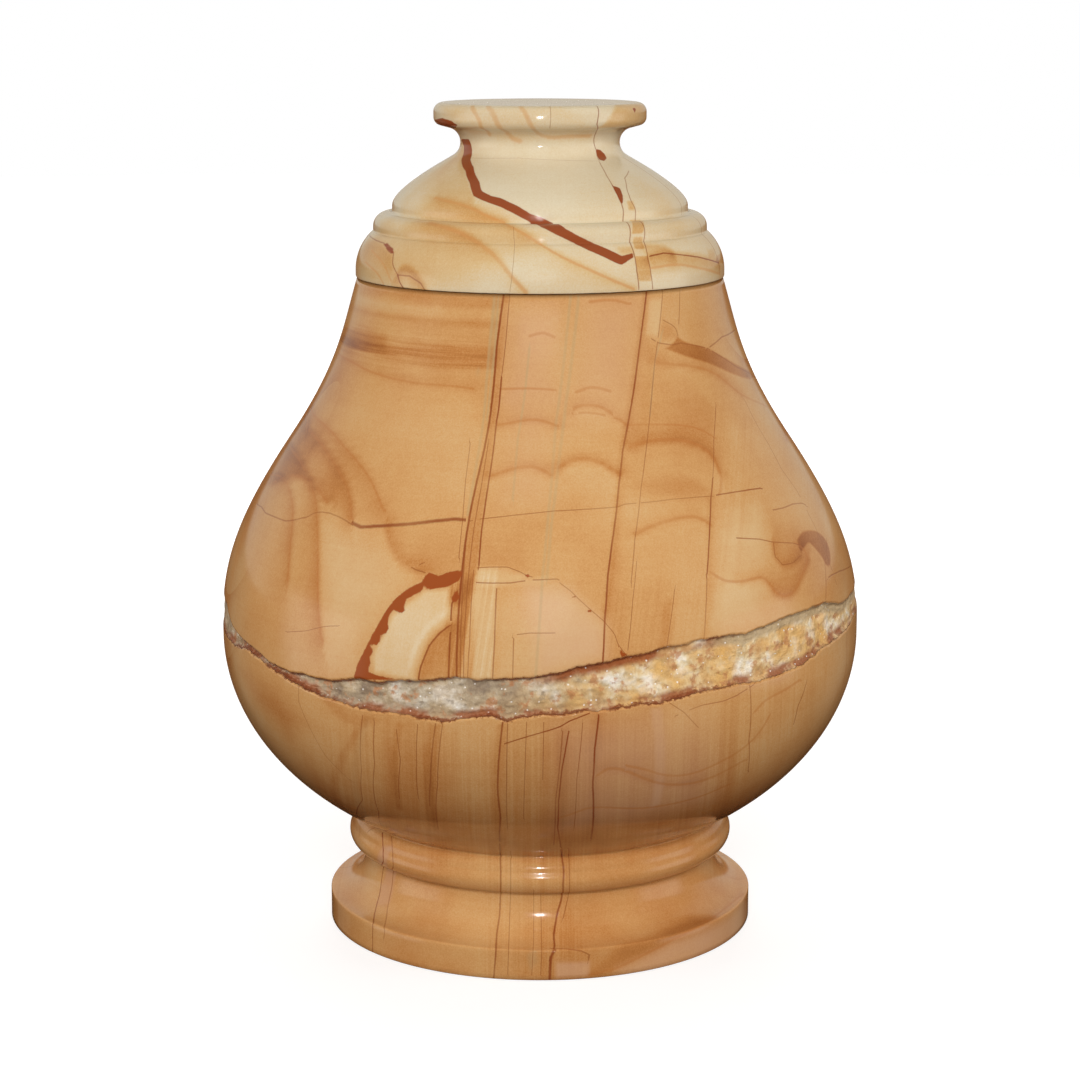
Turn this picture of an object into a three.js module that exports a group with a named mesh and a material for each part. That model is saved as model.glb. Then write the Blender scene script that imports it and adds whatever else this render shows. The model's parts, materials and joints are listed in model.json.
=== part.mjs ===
// A turned stone cremation urn: a pear-shaped bowl and foot cut from one block,
// and a lift-off lid cut from a second, paler block.
// Millimetres, +Z up, with the origin at the centre of the foot's underside.

import * as THREE from "three";

// Foot
const plinthRadius = 73;
const plinthHeight = 10.4;
const plinthArris = 0.7;
const footChamfer = 0.3;
const coveHeight = 13.3;
const coveNeckRadius = 60.6;
const coveNeckHeight = 2.2;

// Two rolls between the foot's cove and the bowl
const lowerRollRadius = 66.2;
const lowerRollRound = 5;
const upperRollRadius = 65.2;
const upperRollRound = 4.4;
const rollSpacing = 3.2;
const waistInset = 3.2;

// Bowl, measured outside
const bellyRadius = 108.4;
const bowlDepth = 78;
const bellyBand = 4.6;
const shoulderRadius = 84.2;
const shoulderRise = 62.1;
const shoulderLean = 0.67;
const collarRise = 53.4;
const rimRadius = 61.3;
const rimLean = 0.3;
const seamArris = 0.7;

// How far each curve runs straight on from its ends, as a share of its rise
const bellyPull = 0.34;
const shoulderPull = 0.49;
const collarPull = 0.56;
const rimPull = 0.32;
const domeFootPull = 0.33;
const domeTopPull = 0.2;

// Walls of the hollow
const wall = 12;
const floorThickness = 14;

// Lid, from its seat up
const bandRadius = 61.8;
const bandSide = 2.1;
const bandHeight = 15;
const bandRound = 17;
const beadRadius = 55.8;
const beadSide = 1.5;
const beadRound = 4.6;
const domeRadius = 49.4;
const domeSide = 2.3;
const domeHeight = 16.5;
const domeSlope = THREE.MathUtils.degToRad(32);
const lidNeckRadius = 26.5;
const lidNeckRound = 5;
const flangeRadius = 35.4;
const flangeThickness = 8.25;
const flangeLean = THREE.MathUtils.degToRad(15);
const flangeLowerRound = 2.6;
const flangeTopRound = 3;

// Underside of the lid and its fit in the mouth
const seatGap = 0.3;
const lipClearance = 0.8;
const lipThickness = 7;
const lipLength = 7;
const lipEndGap = 1.5;
const lipChamfer = 0.8;
const lidHollowRise = 30;

// Facets around the axis
const sides = 48;

const quarter = Math.PI / 2;

// Points of an outline are (radius, height). The end of each stretch is the start of the next.
function arc(centre, round, fromAngle, toAngle, steps) {
  const clockwise = toAngle < fromAngle;
  const curve = new THREE.EllipseCurve(
    centre.x, centre.y, round, round, fromAngle, toAngle, clockwise);
  return curve.getPoints(steps);
}

function point(radius, height) {
  return new THREE.Vector2(radius, height);
}

// Where two arcs of a moulding cross, on the side away from the axis.
function crossing(centreA, roundA, centreB, roundB) {
  const span = centreB.clone().sub(centreA);
  const distance = span.length();
  const along = (distance ** 2 + roundA ** 2 - roundB ** 2) / (2 * distance);
  const across = Math.sqrt(roundA ** 2 - along ** 2);
  const direction = span.divideScalar(distance);
  const outward = point(direction.y, -direction.x);
  return centreA.clone().addScaledVector(direction, along).addScaledVector(outward, across);
}

function angleFrom(centre, place) {
  return Math.atan2(place.y - centre.y, place.x - centre.x);
}

function withoutRepeats(points) {
  const least = 0.01;
  return points.filter((place, index) => index === 0 || place.distanceTo(points[index - 1]) > least);
}

function turned(name, outline, material) {
  const mesh = new THREE.Mesh(new THREE.LatheGeometry(withoutRepeats(outline), sides), material);
  mesh.name = name;
  // A lathe turns about Y, and the urn stands along Z.
  mesh.geometry.rotateX(quarter);
  return mesh;
}

// Heights of the foot and the rolls
const coveTop = plinthHeight + coveHeight;
const lowerRoll = point(
  lowerRollRadius - lowerRollRound, coveTop + coveNeckHeight + lowerRollRound);
const upperRoll = point(upperRollRadius - upperRollRound, lowerRoll.y + rollSpacing);
const groove = crossing(lowerRoll, lowerRollRound, upperRoll, upperRollRound);
const waistRadius = upperRollRadius - waistInset;
const waistAngle = Math.acos((waistRadius - upperRoll.x) / upperRollRound);
const waistHeight = upperRoll.y + upperRollRound * Math.sin(waistAngle);

// The bowl's underside is a quarter of an ellipse that runs down into the waist.
const waistShare = waistRadius / bellyRadius;
const bowlCentre = waistHeight + bowlDepth * Math.sqrt(1 - waistShare ** 2);
const bellyTop = bowlCentre + bellyBand;
const shoulder = point(shoulderRadius, bellyTop + shoulderRise);
const rim = point(rimRadius, shoulder.y + collarRise);

// The bored mouth, and the lid's seat over it
const mouthRadius = rimRadius - wall;
const mouthBottom = rim.y - lipLength - lipEndGap;
const lidSeat = rim.y + seatGap;
const lipRadius = mouthRadius - lipClearance;
const hollowRadius = lipRadius - lipThickness;
const lipBottom = lidSeat - lipLength;

function footOutline() {
  const arrisCentre = point(plinthRadius - plinthArris, plinthHeight - plinthArris);
  const coveReach = arrisCentre.x - coveNeckRadius;
  const cove = new THREE.EllipseCurve(
    arrisCentre.x, coveTop, coveReach, coveHeight, -quarter, -2 * quarter, true);
  return [
    point(0, 0),
    point(plinthRadius - footChamfer, 0),
    point(plinthRadius, footChamfer),
    ...arc(arrisCentre, plinthArris, 0, quarter, 2),
    ...cove.getPoints(6),
    point(coveNeckRadius, coveTop + coveNeckHeight),
    ...arc(lowerRoll, lowerRollRound, -quarter, angleFrom(lowerRoll, groove), 5),
    ...arc(upperRoll, upperRollRound, angleFrom(upperRoll, groove), waistAngle, 4),
  ];
}

// The shoulder swells out of the belly, then sweeps in to the rim.
function shoulderCurves() {
  const lean = point(-shoulderLean, 1).normalize();
  const rimDirection = point(-rimLean, 1).normalize();
  const belly = point(bellyRadius, bellyTop);
  const swell = new THREE.CubicBezierCurve(
    belly,
    point(belly.x, belly.y + bellyPull * shoulderRise),
    shoulder.clone().addScaledVector(lean, -shoulderPull * shoulderRise),
    shoulder);
  const sweep = new THREE.CubicBezierCurve(
    shoulder,
    shoulder.clone().addScaledVector(lean, collarPull * collarRise),
    rim.clone().addScaledVector(rimDirection, -rimPull * collarRise),
    rim);
  return [swell, sweep];
}

// Places along the shoulder, moved in towards the axis by the wall or by nothing.
function shoulderOutline(inset, steps) {
  const places = [];
  for (const curve of shoulderCurves()) {
    for (let step = 0; step <= steps; step += 1) {
      const along = curve.getTangent(step / steps);
      const inward = point(-along.y, along.x);
      places.push(curve.getPoint(step / steps).addScaledVector(inward, inset));
    }
  }
  return places;
}

function bodyOutline() {
  const bowl = new THREE.EllipseCurve(
    0, bowlCentre, bellyRadius, bowlDepth, -Math.acos(waistShare), 0, false);
  const hollow = new THREE.EllipseCurve(
    0, bowlCentre, bellyRadius - wall, bowlDepth - floorThickness, 0, -quarter, true);
  const inside = shoulderOutline(wall, 3).reverse();
  return [
    ...footOutline(),
    ...bowl.getPoints(9),
    ...shoulderOutline(0, 5).slice(0, -1),
    point(rim.x + rimLean * seamArris, rim.y - seamArris),
    point(rim.x - seamArris, rim.y),
    point(mouthRadius, rim.y),
    point(mouthRadius, mouthBottom),
    ...inside.filter((place) => place.y < mouthBottom),
    ...hollow.getPoints(6).slice(0, -1),
    point(0, bowlCentre - bowlDepth + floorThickness),
  ];
}

function lidUnderside() {
  const dome = new THREE.EllipseCurve(
    0, lidSeat, hollowRadius, lidHollowRise, quarter, 0, true);
  return [
    point(0, lidSeat + lidHollowRise),
    ...dome.getPoints(5).slice(1),
    point(hollowRadius, lipBottom),
    point(lipRadius - lipChamfer, lipBottom),
    point(lipRadius, lipBottom + lipChamfer),
    point(lipRadius, lidSeat),
  ];
}

function lidMouldings() {
  const bandCentre = point(bandRadius - bandRound, lidSeat + bandSide);
  const bandAngle = Math.asin((bandHeight - bandSide) / bandRound);
  const beadCentre = point(beadRadius - beadRound, lidSeat + bandHeight + beadSide);
  const beadTop = beadCentre.y + beadRound;
  return [
    point(bandRadius - seamArris, lidSeat),
    point(bandRadius, lidSeat + seamArris),
    ...arc(bandCentre, bandRound, 0, bandAngle, 4),
    point(beadRadius, lidSeat + bandHeight),
    ...arc(beadCentre, beadRound, 0, quarter, 4),
    point(domeRadius, beadTop),
  ];
}

function lidDomeAndFlange() {
  const domeFoot = point(
    domeRadius, lidSeat + bandHeight + beadSide + beadRound + domeSide);
  const neckCentreX = lidNeckRadius + lidNeckRound;
  const slopeEnd = point(
    neckCentreX - lidNeckRound * Math.sin(domeSlope), domeFoot.y + domeHeight);
  const neckCentre = point(
    neckCentreX, slopeEnd.y + lidNeckRound * Math.cos(domeSlope));
  const dome = new THREE.CubicBezierCurve(
    domeFoot,
    point(domeFoot.x, domeFoot.y + domeFootPull * domeHeight),
    slopeEnd.clone().addScaledVector(
      point(Math.cos(domeSlope), -Math.sin(domeSlope)), domeTopPull * domeHeight),
    slopeEnd);
  const neckStart = 2 * quarter + quarter - domeSlope;
  const neckEnd = quarter + flangeLean;
  const underside = point(
    neckCentre.x - lidNeckRound * Math.sin(flangeLean),
    neckCentre.y + lidNeckRound * Math.cos(flangeLean));
  const edgeX = flangeRadius - flangeLowerRound;
  const reach = edgeX + flangeLowerRound * Math.sin(flangeLean) - underside.x;
  const edgeCentre = point(
    edgeX,
    underside.y + reach * Math.tan(flangeLean) + flangeLowerRound * Math.cos(flangeLean));
  const top = underside.y + flangeThickness;
  const topCentre = point(flangeRadius - flangeTopRound, top - flangeTopRound);
  return [
    ...dome.getPoints(6),
    ...arc(neckCentre, lidNeckRound, neckStart, neckEnd, 5),
    ...arc(edgeCentre, flangeLowerRound, flangeLean - quarter, 0, 2),
    ...arc(topCentre, flangeTopRound, 0, quarter, 3),
    point(0, top),
  ];
}

const bodyStone = new THREE.MeshStandardMaterial({
  color: 0xc88d52, roughness: 0.16, metalness: 0 });
const lidStone = new THREE.MeshStandardMaterial({
  color: 0xdcc194, roughness: 0.16, metalness: 0 });

const urn = new THREE.Group();
urn.add(turned("urn_body", bodyOutline(), bodyStone));
urn.add(turned("urn_lid", [...lidUnderside(), ...lidMouldings(), ...lidDomeAndFlange()], lidStone));

export default urn;
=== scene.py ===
# %% [markdown]
# # A turned stone cremation urn
# The real urn is two pieces of polished sandstone that iron has banded: a pear-shaped
# bowl on a moulded foot, and a paler lid that lifts off. A lathe shapes both, so each
# is a turned outline. Everything else that the eye sees is in the stone: upright
# fracture sheets, rust-coloured stains, and one open vein of quartz round the belly.
# This notebook turns the outlines, lays the markings on them, and then lights them.

import json
import math
from types import SimpleNamespace

import bpy
import numpy as np
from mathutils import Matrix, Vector, noise

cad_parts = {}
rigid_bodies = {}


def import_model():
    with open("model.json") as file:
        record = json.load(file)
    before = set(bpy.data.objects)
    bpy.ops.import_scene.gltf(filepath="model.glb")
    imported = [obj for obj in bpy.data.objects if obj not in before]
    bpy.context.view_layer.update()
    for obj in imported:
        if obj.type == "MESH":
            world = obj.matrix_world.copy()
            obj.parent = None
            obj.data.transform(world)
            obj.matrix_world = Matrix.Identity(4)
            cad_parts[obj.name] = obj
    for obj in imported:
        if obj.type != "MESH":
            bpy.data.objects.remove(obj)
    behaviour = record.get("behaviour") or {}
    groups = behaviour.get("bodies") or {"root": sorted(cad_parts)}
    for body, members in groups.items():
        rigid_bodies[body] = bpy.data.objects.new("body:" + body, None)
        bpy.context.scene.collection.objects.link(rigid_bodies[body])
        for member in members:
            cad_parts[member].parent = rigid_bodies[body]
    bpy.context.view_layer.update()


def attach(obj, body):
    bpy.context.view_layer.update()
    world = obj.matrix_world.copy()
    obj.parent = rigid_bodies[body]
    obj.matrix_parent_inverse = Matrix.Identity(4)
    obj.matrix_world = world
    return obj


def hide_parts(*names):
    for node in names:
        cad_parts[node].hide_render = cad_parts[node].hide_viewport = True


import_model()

# %% [markdown]
# Stone workers measure in millimetres and Blender in metres, so sizes are written in
# millimetres here and turned to metres once, when a mesh is made.

# %% Units and the picture's frame
MM = 0.001
TURN = 2 * math.pi
PICTURE = 1080
FOCAL_PIXELS = 2732
PICTURE_CENTRE = (540.3, 540.0)
EYE_DISTANCE = 917.43
EYE_HEIGHT = 315.05
EYE_PITCH = math.radians(11.3)

# %% [markdown]
# ## The camera
# The photograph looks at the urn from just above lid height, tilted down by eleven
# degrees. A long lens keeps the mouldings nearly level, as they are in the picture.

# %% Camera
SENSOR = 36
camera_data = bpy.data.cameras.new("studio_camera")
camera_data.sensor_width = SENSOR
camera_data.lens = SENSOR * FOCAL_PIXELS / PICTURE
camera = bpy.data.objects.new("studio_camera", camera_data)
camera.location = (0, -EYE_DISTANCE * MM, EYE_HEIGHT * MM)
camera.rotation_euler = (math.pi / 2 - EYE_PITCH, 0, 0)
bpy.context.scene.collection.objects.link(camera)
bpy.context.scene.camera = camera
print("lens in mm:", round(camera_data.lens, 2))

# %% [markdown]
# ## The outlines
# A turned piece is fully described by the line that its cutter followed, as radius and
# height. The line is written with the same arcs, ellipses and curves as the solid
# model, only in many more steps, so that polished stone reflects without facets.

# %% Curves of an outline, as rows of radius and height
def arc(centre, rounds, from_angle, to_angle, steps):
    """Places on a circle or an upright ellipse, angles in degrees."""
    angles = np.radians(np.linspace(from_angle, to_angle, steps + 1))
    rounds = np.broadcast_to(rounds, 2)
    return np.c_[centre[0] + rounds[0] * np.cos(angles), centre[1] + rounds[1] * np.sin(angles)]


def bezier(a, b, c, d, steps):
    t = np.linspace(0, 1, steps + 1)[:, None]
    places = np.array([a, b, c, d], float)
    weights = np.hstack([(1 - t) ** 3, 3 * t * (1 - t) ** 2, 3 * t * t * (1 - t), t ** 3])
    return weights @ places


def straight(a, b, steps):
    return np.linspace(a, b, steps + 1)


def joined(*stretches):
    """One outline of several stretches, without the places where two of them meet twice."""
    same_place = 0.02
    line = np.vstack(stretches)
    moved = np.hypot(*np.diff(line, axis=0).T) > same_place
    return line[np.r_[True, moved]]


def lengths(line):
    return np.r_[0, np.cumsum(np.hypot(*np.diff(line, axis=0).T))]

# %% [markdown]
# The foot is a plinth with a hollow cove over it and two rolls under the bowl. The
# groove between the rolls is soft, as polishing leaves it.

# %% The foot
PLINTH_RADIUS, PLINTH_HEIGHT, ARRIS = 73, 10.4, 0.7
FOOT_ROUND = 0.3
COVE_TOP, COVE_NECK, COVE_NECK_TOP = 23.7, 60.6, 25.6
LOWER_ROLL, LOWER_ROUND = (61.2, 30.9), 5
UPPER_ROLL, UPPER_ROUND = (60.8, 34.1), 4.4
LOWER_ROLL_ANGLES, GROOVE_TOP_ANGLE = (-88, 33), 2
WAIST_RADIUS = 62.0
WAIST_ANGLE = math.degrees(math.acos((WAIST_RADIUS - UPPER_ROLL[0]) / UPPER_ROUND))
ARRIS_CENTRE = (PLINTH_RADIUS - ARRIS, PLINTH_HEIGHT - ARRIS)

foot_line = joined(
    straight((PLINTH_RADIUS - FOOT_ROUND, 0), (PLINTH_RADIUS, FOOT_ROUND), 1),
    straight((PLINTH_RADIUS, FOOT_ROUND), (PLINTH_RADIUS, ARRIS_CENTRE[1]), 6),
    arc(ARRIS_CENTRE, ARRIS, 0, 90, 4),
    arc((ARRIS_CENTRE[0], COVE_TOP), (ARRIS_CENTRE[0] - COVE_NECK, COVE_TOP - PLINTH_HEIGHT),
        -90, -180, 13),
    straight((COVE_NECK, COVE_TOP), (COVE_NECK, COVE_NECK_TOP), 2),
    arc(LOWER_ROLL, LOWER_ROUND, *LOWER_ROLL_ANGLES, 11),
    arc(UPPER_ROLL, UPPER_ROUND, GROOVE_TOP_ANGLE, WAIST_ANGLE, 7),
)
waist_height = foot_line[-1][1]
print("waist at", foot_line[-1].round(2), "rows in the foot:", len(foot_line))

# %% [markdown]
# The bowl's underside is a quarter of an ellipse. Above a short upright band the
# shoulder swells out of the belly and then sweeps in to the rim.

# %% The bowl and the shoulder, from the waist to the rim
BELLY_RADIUS, BOWL_DEPTH, BELLY_BAND = 108.4, 78, 4.6
SHOULDER, RIM = (84.2, 169.02), (61.3, 222.42)
SHOULDER_LEAN, RIM_LEAN = 0.67, 0.3
BELLY_PULL, SHOULDER_PULL, COLLAR_PULL, RIM_PULL = 0.34, 0.49, 0.56, 0.32

UNDERSIDE_STEPS, BAND_STEPS, CURVE_STEPS = 300, 20, 300

waist_share = WAIST_RADIUS / BELLY_RADIUS
bowl_centre = waist_height + BOWL_DEPTH * math.sqrt(1 - waist_share ** 2)
belly_top = bowl_centre + BELLY_BAND
swell_rise = SHOULDER[1] - belly_top
sweep_rise = RIM[1] - SHOULDER[1]


def leaning(place, lean, distance):
    size = math.hypot(lean, 1)
    return (place[0] - lean / size * distance, place[1] + distance / size)


bowl_line = joined(
    arc((0, bowl_centre), (BELLY_RADIUS, BOWL_DEPTH), -math.degrees(math.acos(waist_share)), 0,
        UNDERSIDE_STEPS),
    straight((BELLY_RADIUS, bowl_centre), (BELLY_RADIUS, belly_top), BAND_STEPS),
    bezier((BELLY_RADIUS, belly_top), (BELLY_RADIUS, belly_top + BELLY_PULL * swell_rise),
           leaning(SHOULDER, SHOULDER_LEAN, -SHOULDER_PULL * swell_rise), SHOULDER, CURVE_STEPS),
    bezier(SHOULDER, leaning(SHOULDER, SHOULDER_LEAN, COLLAR_PULL * sweep_rise),
           leaning(RIM, RIM_LEAN, -RIM_PULL * sweep_rise), RIM, CURVE_STEPS),
)
print("bowl centre", round(bowl_centre, 2), "rim", bowl_line[-1].round(2))

# %% [markdown]
# Under the lid the bowl is hollow, with walls of twelve millimetres. The mouth is bored
# straight, and the hollow follows the outside of the bowl. Nobody sees it without lifting
# the lid, so it has far fewer rings than the polished outside.

# %% The rim, the mouth and the hollow
WALL, FLOOR_THICKNESS = 12, 14
MOUTH_RADIUS, MOUTH_BOTTOM = 49.3, 213.92
RIM_ROUND, MOUTH_CHAMFER = 0.35, 0.5
HOLLOW_FLOOR_ANGLE = -84
HOLLOW_STRIDE = 75


def inset(line, distance):
    along = np.gradient(line, axis=0)
    along /= np.hypot(*along.T)[:, None]
    return line + np.c_[-along[:, 1], along[:, 0]] * distance


above_belly = bowl_line[UNDERSIDE_STEPS + BAND_STEPS:]
hollow_side = inset(above_belly, WALL)[::-HOLLOW_STRIDE]
hollow_side = hollow_side[hollow_side[:, 1] < MOUTH_BOTTOM - 1]
inner_line = joined(
    arc((RIM[0] - RIM_ROUND, RIM[1] - RIM_ROUND), RIM_ROUND, 20, 90, 4),
    straight((MOUTH_RADIUS + MOUTH_CHAMFER, RIM[1]), (MOUTH_RADIUS, RIM[1] - MOUTH_CHAMFER), 1),
    straight((MOUTH_RADIUS, RIM[1] - MOUTH_CHAMFER), (MOUTH_RADIUS, MOUTH_BOTTOM), 1),
    hollow_side,
    arc((0, bowl_centre), (BELLY_RADIUS - WALL, BOWL_DEPTH - FLOOR_THICKNESS), 0,
        HOLLOW_FLOOR_ANGLE, 7),
)
print("rows inside:", len(inner_line))

# %% [markdown]
# The lid is a bulging band, a bead, a dome and a flared button with a flat top.

# %% The lid
LID_SEAT = 222.72
BAND_RADIUS, BAND_SIDE, BAND_HEIGHT, BAND_ROUND = 61.8, 2.1, 15, 17
BEAD_RADIUS, BEAD_SIDE, BEAD_ROUND = 55.8, 1.5, 4.6
DOME_RADIUS, DOME_SIDE, DOME_HEIGHT, DOME_SLOPE = 49.4, 2.3, 16.5, 32
DOME_FOOT_PULL, DOME_TOP_PULL = 0.33, 0.2
NECK_RADIUS, NECK_ROUND = 26.5, 5
FLANGE_RADIUS, FLANGE_THICKNESS, FLANGE_LEAN = 35.4, 8.25, 15
FLANGE_LOWER, FLANGE_UPPER = 2.6, 3
LIP_RADIUS, HOLLOW_RADIUS, LIP_LENGTH, LIP_CHAMFER, HOLLOW_RISE = 48.5, 41.5, 7, 0.8, 30
LID_ARRIS = 0.35
AXIS_HOLE = 2.0

slope = math.radians(DOME_SLOPE)
lean = math.radians(FLANGE_LEAN)
band_centre = (BAND_RADIUS - BAND_ROUND, LID_SEAT + BAND_SIDE)
band_end = math.degrees(math.asin((BAND_HEIGHT - BAND_SIDE) / BAND_ROUND))
bead_centre = (BEAD_RADIUS - BEAD_ROUND, LID_SEAT + BAND_HEIGHT + BEAD_SIDE)
bead_top = bead_centre[1] + BEAD_ROUND
dome_foot = (DOME_RADIUS, bead_top + DOME_SIDE)
neck_x = NECK_RADIUS + NECK_ROUND
dome_end = (neck_x - NECK_ROUND * math.sin(slope), dome_foot[1] + DOME_HEIGHT)
neck_centre = (neck_x, dome_end[1] + NECK_ROUND * math.cos(slope))
under = (neck_x - NECK_ROUND * math.sin(lean), neck_centre[1] + NECK_ROUND * math.cos(lean))
edge_x = FLANGE_RADIUS - FLANGE_LOWER
reach = edge_x + FLANGE_LOWER * math.sin(lean) - under[0]
edge_centre = (edge_x, under[1] + reach * math.tan(lean) + FLANGE_LOWER * math.cos(lean))
lid_top = under[1] + FLANGE_THICKNESS
top_centre = (FLANGE_RADIUS - FLANGE_UPPER, lid_top - FLANGE_UPPER)
dome_pull = DOME_TOP_PULL * DOME_HEIGHT

lip_end = LID_SEAT - LIP_LENGTH

lid_outer = joined(
    arc((BAND_RADIUS - LID_ARRIS, LID_SEAT + LID_ARRIS), LID_ARRIS, -90, 0, 3),
    straight((BAND_RADIUS, LID_SEAT + LID_ARRIS), (BAND_RADIUS, band_centre[1]), 2),
    arc(band_centre, BAND_ROUND, 0, band_end, 13),
    straight((BEAD_RADIUS, LID_SEAT + BAND_HEIGHT), (BEAD_RADIUS, bead_centre[1]), 2),
    arc(bead_centre, BEAD_ROUND, 0, 90, 10),
    straight((bead_centre[0], bead_top), (DOME_RADIUS, bead_top), 1),
    straight((DOME_RADIUS, bead_top), dome_foot, 2),
    bezier(dome_foot, (DOME_RADIUS, dome_foot[1] + DOME_FOOT_PULL * DOME_HEIGHT),
           (dome_end[0] + dome_pull * math.cos(slope), dome_end[1] - dome_pull * math.sin(slope)),
           dome_end, 20),
    arc(neck_centre, NECK_ROUND, 270 - DOME_SLOPE, 90 + FLANGE_LEAN, 12),
    arc(edge_centre, FLANGE_LOWER, FLANGE_LEAN - 90, 0, 6),
    arc(top_centre, FLANGE_UPPER, 0, 90, 7),
    straight((top_centre[0], lid_top), (AXIS_HOLE, lid_top), 12),
)
lid_under = joined(
    arc((0, LID_SEAT), (HOLLOW_RADIUS, HOLLOW_RISE), 86, 0, 8),
    straight((HOLLOW_RADIUS, LID_SEAT), (HOLLOW_RADIUS, lip_end), 1),
    straight((HOLLOW_RADIUS, lip_end), (LIP_RADIUS - LIP_CHAMFER, lip_end), 1),
    straight((LIP_RADIUS - LIP_CHAMFER, lip_end), (LIP_RADIUS, lip_end + LIP_CHAMFER), 1),
    straight((LIP_RADIUS, lip_end + LIP_CHAMFER), (LIP_RADIUS, LID_SEAT), 1),
)
print("lid top", round(lid_top, 2), "rows on the lid:", len(lid_outer) + len(lid_under))

# %% [markdown]
# ## From the picture to the stone
# The markings were read off the photograph as pixels. Each pixel is a line of sight
# from the fitted camera, and where that line first meets the turned surface is where
# the marking sits on the stone. It then stays there, whatever side it is seen from.

# %% Cast pixels onto the turned surface
NEAREST_STONE, FARTHEST_STONE, SIGHT_STEPS = 760, 960, 2001
sight_line = joined(foot_line, bowl_line, lid_outer)
sight_line = sight_line[np.argsort(sight_line[:, 1], kind="stable")]


def cast(pixels):
    """Azimuth in radians and height in mm for each pixel. Azimuth 0 faces the camera."""
    found = []
    for across, down in pixels:
        right = (across - PICTURE_CENTRE[0]) / FOCAL_PIXELS
        up = (PICTURE_CENTRE[1] - down) / FOCAL_PIXELS
        forward = math.cos(EYE_PITCH) + up * math.sin(EYE_PITCH)
        rise = up * math.cos(EYE_PITCH) - math.sin(EYE_PITCH)
        depth = np.linspace(NEAREST_STONE, FARTHEST_STONE, SIGHT_STEPS)
        x, y, z = right * depth, forward * depth - EYE_DISTANCE, rise * depth + EYE_HEIGHT
        gap = np.hypot(x, y) - np.interp(z, sight_line[:, 1], sight_line[:, 0])
        inside = np.flatnonzero(gap <= 0)
        hit = inside[0] if len(inside) else int(np.argmin(gap))
        found.append((math.atan2(x[hit], -y[hit]), z[hit]))
    return np.array(found)


print("the picture's middle meets the stone at", cast([PICTURE_CENTRE]).round(3))

# %% [markdown]
# ## The quartz vein
# The vein is an open seam of small crystals. It runs nearly level round the belly, so
# its two edges are read from the photograph in front, and carried on round the back
# from the right end to the left one, narrowing on the way.

# %% The vein's edges as height over azimuth
VEIN_TOP = [
    (227, 603), (230, 620), (239, 636), (255, 649), (268, 661), (284, 670), (299, 674),
    (317, 678), (335, 681), (355, 679), (377, 682), (404, 680), (433, 680), (455, 677),
    (478, 680), (500, 679), (522, 679), (542, 676), (560, 673), (580, 667), (603, 663),
    (627, 657), (647, 654), (667, 647), (687, 644), (707, 639), (732, 636), (750, 632),
    (765, 627), (788, 616), (810, 609), (826, 603), (841, 604), (850, 596), (855, 587)]
VEIN_BOTTOM = [
    (227, 636), (235, 645), (248, 650), (264, 663), (279, 674), (299, 686), (322, 696),
    (344, 703), (364, 710), (389, 713), (411, 716), (442, 722), (467, 719), (491, 716),
    (505, 721), (534, 716), (560, 715), (580, 712), (596, 712), (614, 710), (640, 704),
    (663, 703), (681, 697), (712, 691), (732, 686), (757, 682), (783, 674), (801, 666),
    (815, 655), (828, 645), (841, 636), (850, 625), (855, 614)]
# Behind, as degrees round from the front with the heights of both edges in mm
VEIN_BEHIND = [
    (100, 121, 113), (118, 125, 118.5), (135, 124, 119), (152, 127, 122.5), (170, 123, 119),
    (188, 125, 121), (206, 120, 115), (224, 121, 116.5), (242, 116, 110.5), (260, 117, 108),
    (272, 116, 106)]
SERRATION, SERRATION_SPACING = 0.55, 4.5


def edge_heights(pixels, column):
    front = cast(pixels)
    angles = np.r_[front[:, 0], np.radians([row[0] for row in VEIN_BEHIND])]
    heights = np.r_[front[:, 1], [row[column] for row in VEIN_BEHIND]]
    order = np.argsort(angles)
    return angles[order], heights[order]


def vein_edges(azimuths):
    """Heights of the lower and the upper edge at each azimuth, ragged as broken crystal is."""
    turned = np.mod(azimuths + TURN / 4, TURN) - TURN / 4
    edges = []
    for pixels, column in ((VEIN_BOTTOM, 2), (VEIN_TOP, 1)):
        smooth = np.interp(turned, *edge_heights(pixels, column), period=TURN)
        ragged = []
        for angle in azimuths:
            place = Vector((math.sin(angle), math.cos(angle), 0.7 * column)) * BELLY_RADIUS
            ragged.append(noise.fractal(place / SERRATION_SPACING, 0.9, 2.2, 4))
        edges.append(smooth + SERRATION * np.array(ragged))
    return edges


# %% [markdown]
# ## Turning a mesh
# The body's rows are parallel rings, except near the vein. There they bend to follow
# both of its edges, so that the broken lip of the stone is a clean step in the mesh.
# Columns stand closer together in front, where the photograph shows the markings.

# %% Rings and columns
COLUMNS = 470
FRONT_SHARE = 0.45


def column_angles():
    even = np.linspace(-math.pi, math.pi, COLUMNS, endpoint=False)
    return even - FRONT_SHARE * np.sin(even)


azimuth = column_angles()
vein_low, vein_high = vein_edges(azimuth)
print("vein height in mm:", (vein_high - vein_low).min().round(1), "to",
      (vein_high - vein_low).max().round(1))

# %% The body's grid of radius, height and length along the outline
# Heights in mm. Between the two warp heights, rings bend towards the vein.
LOW, HIGH = 100, 112
BORDER = 2.4
WARP_FROM, WARP_TO = 56, 172

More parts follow.
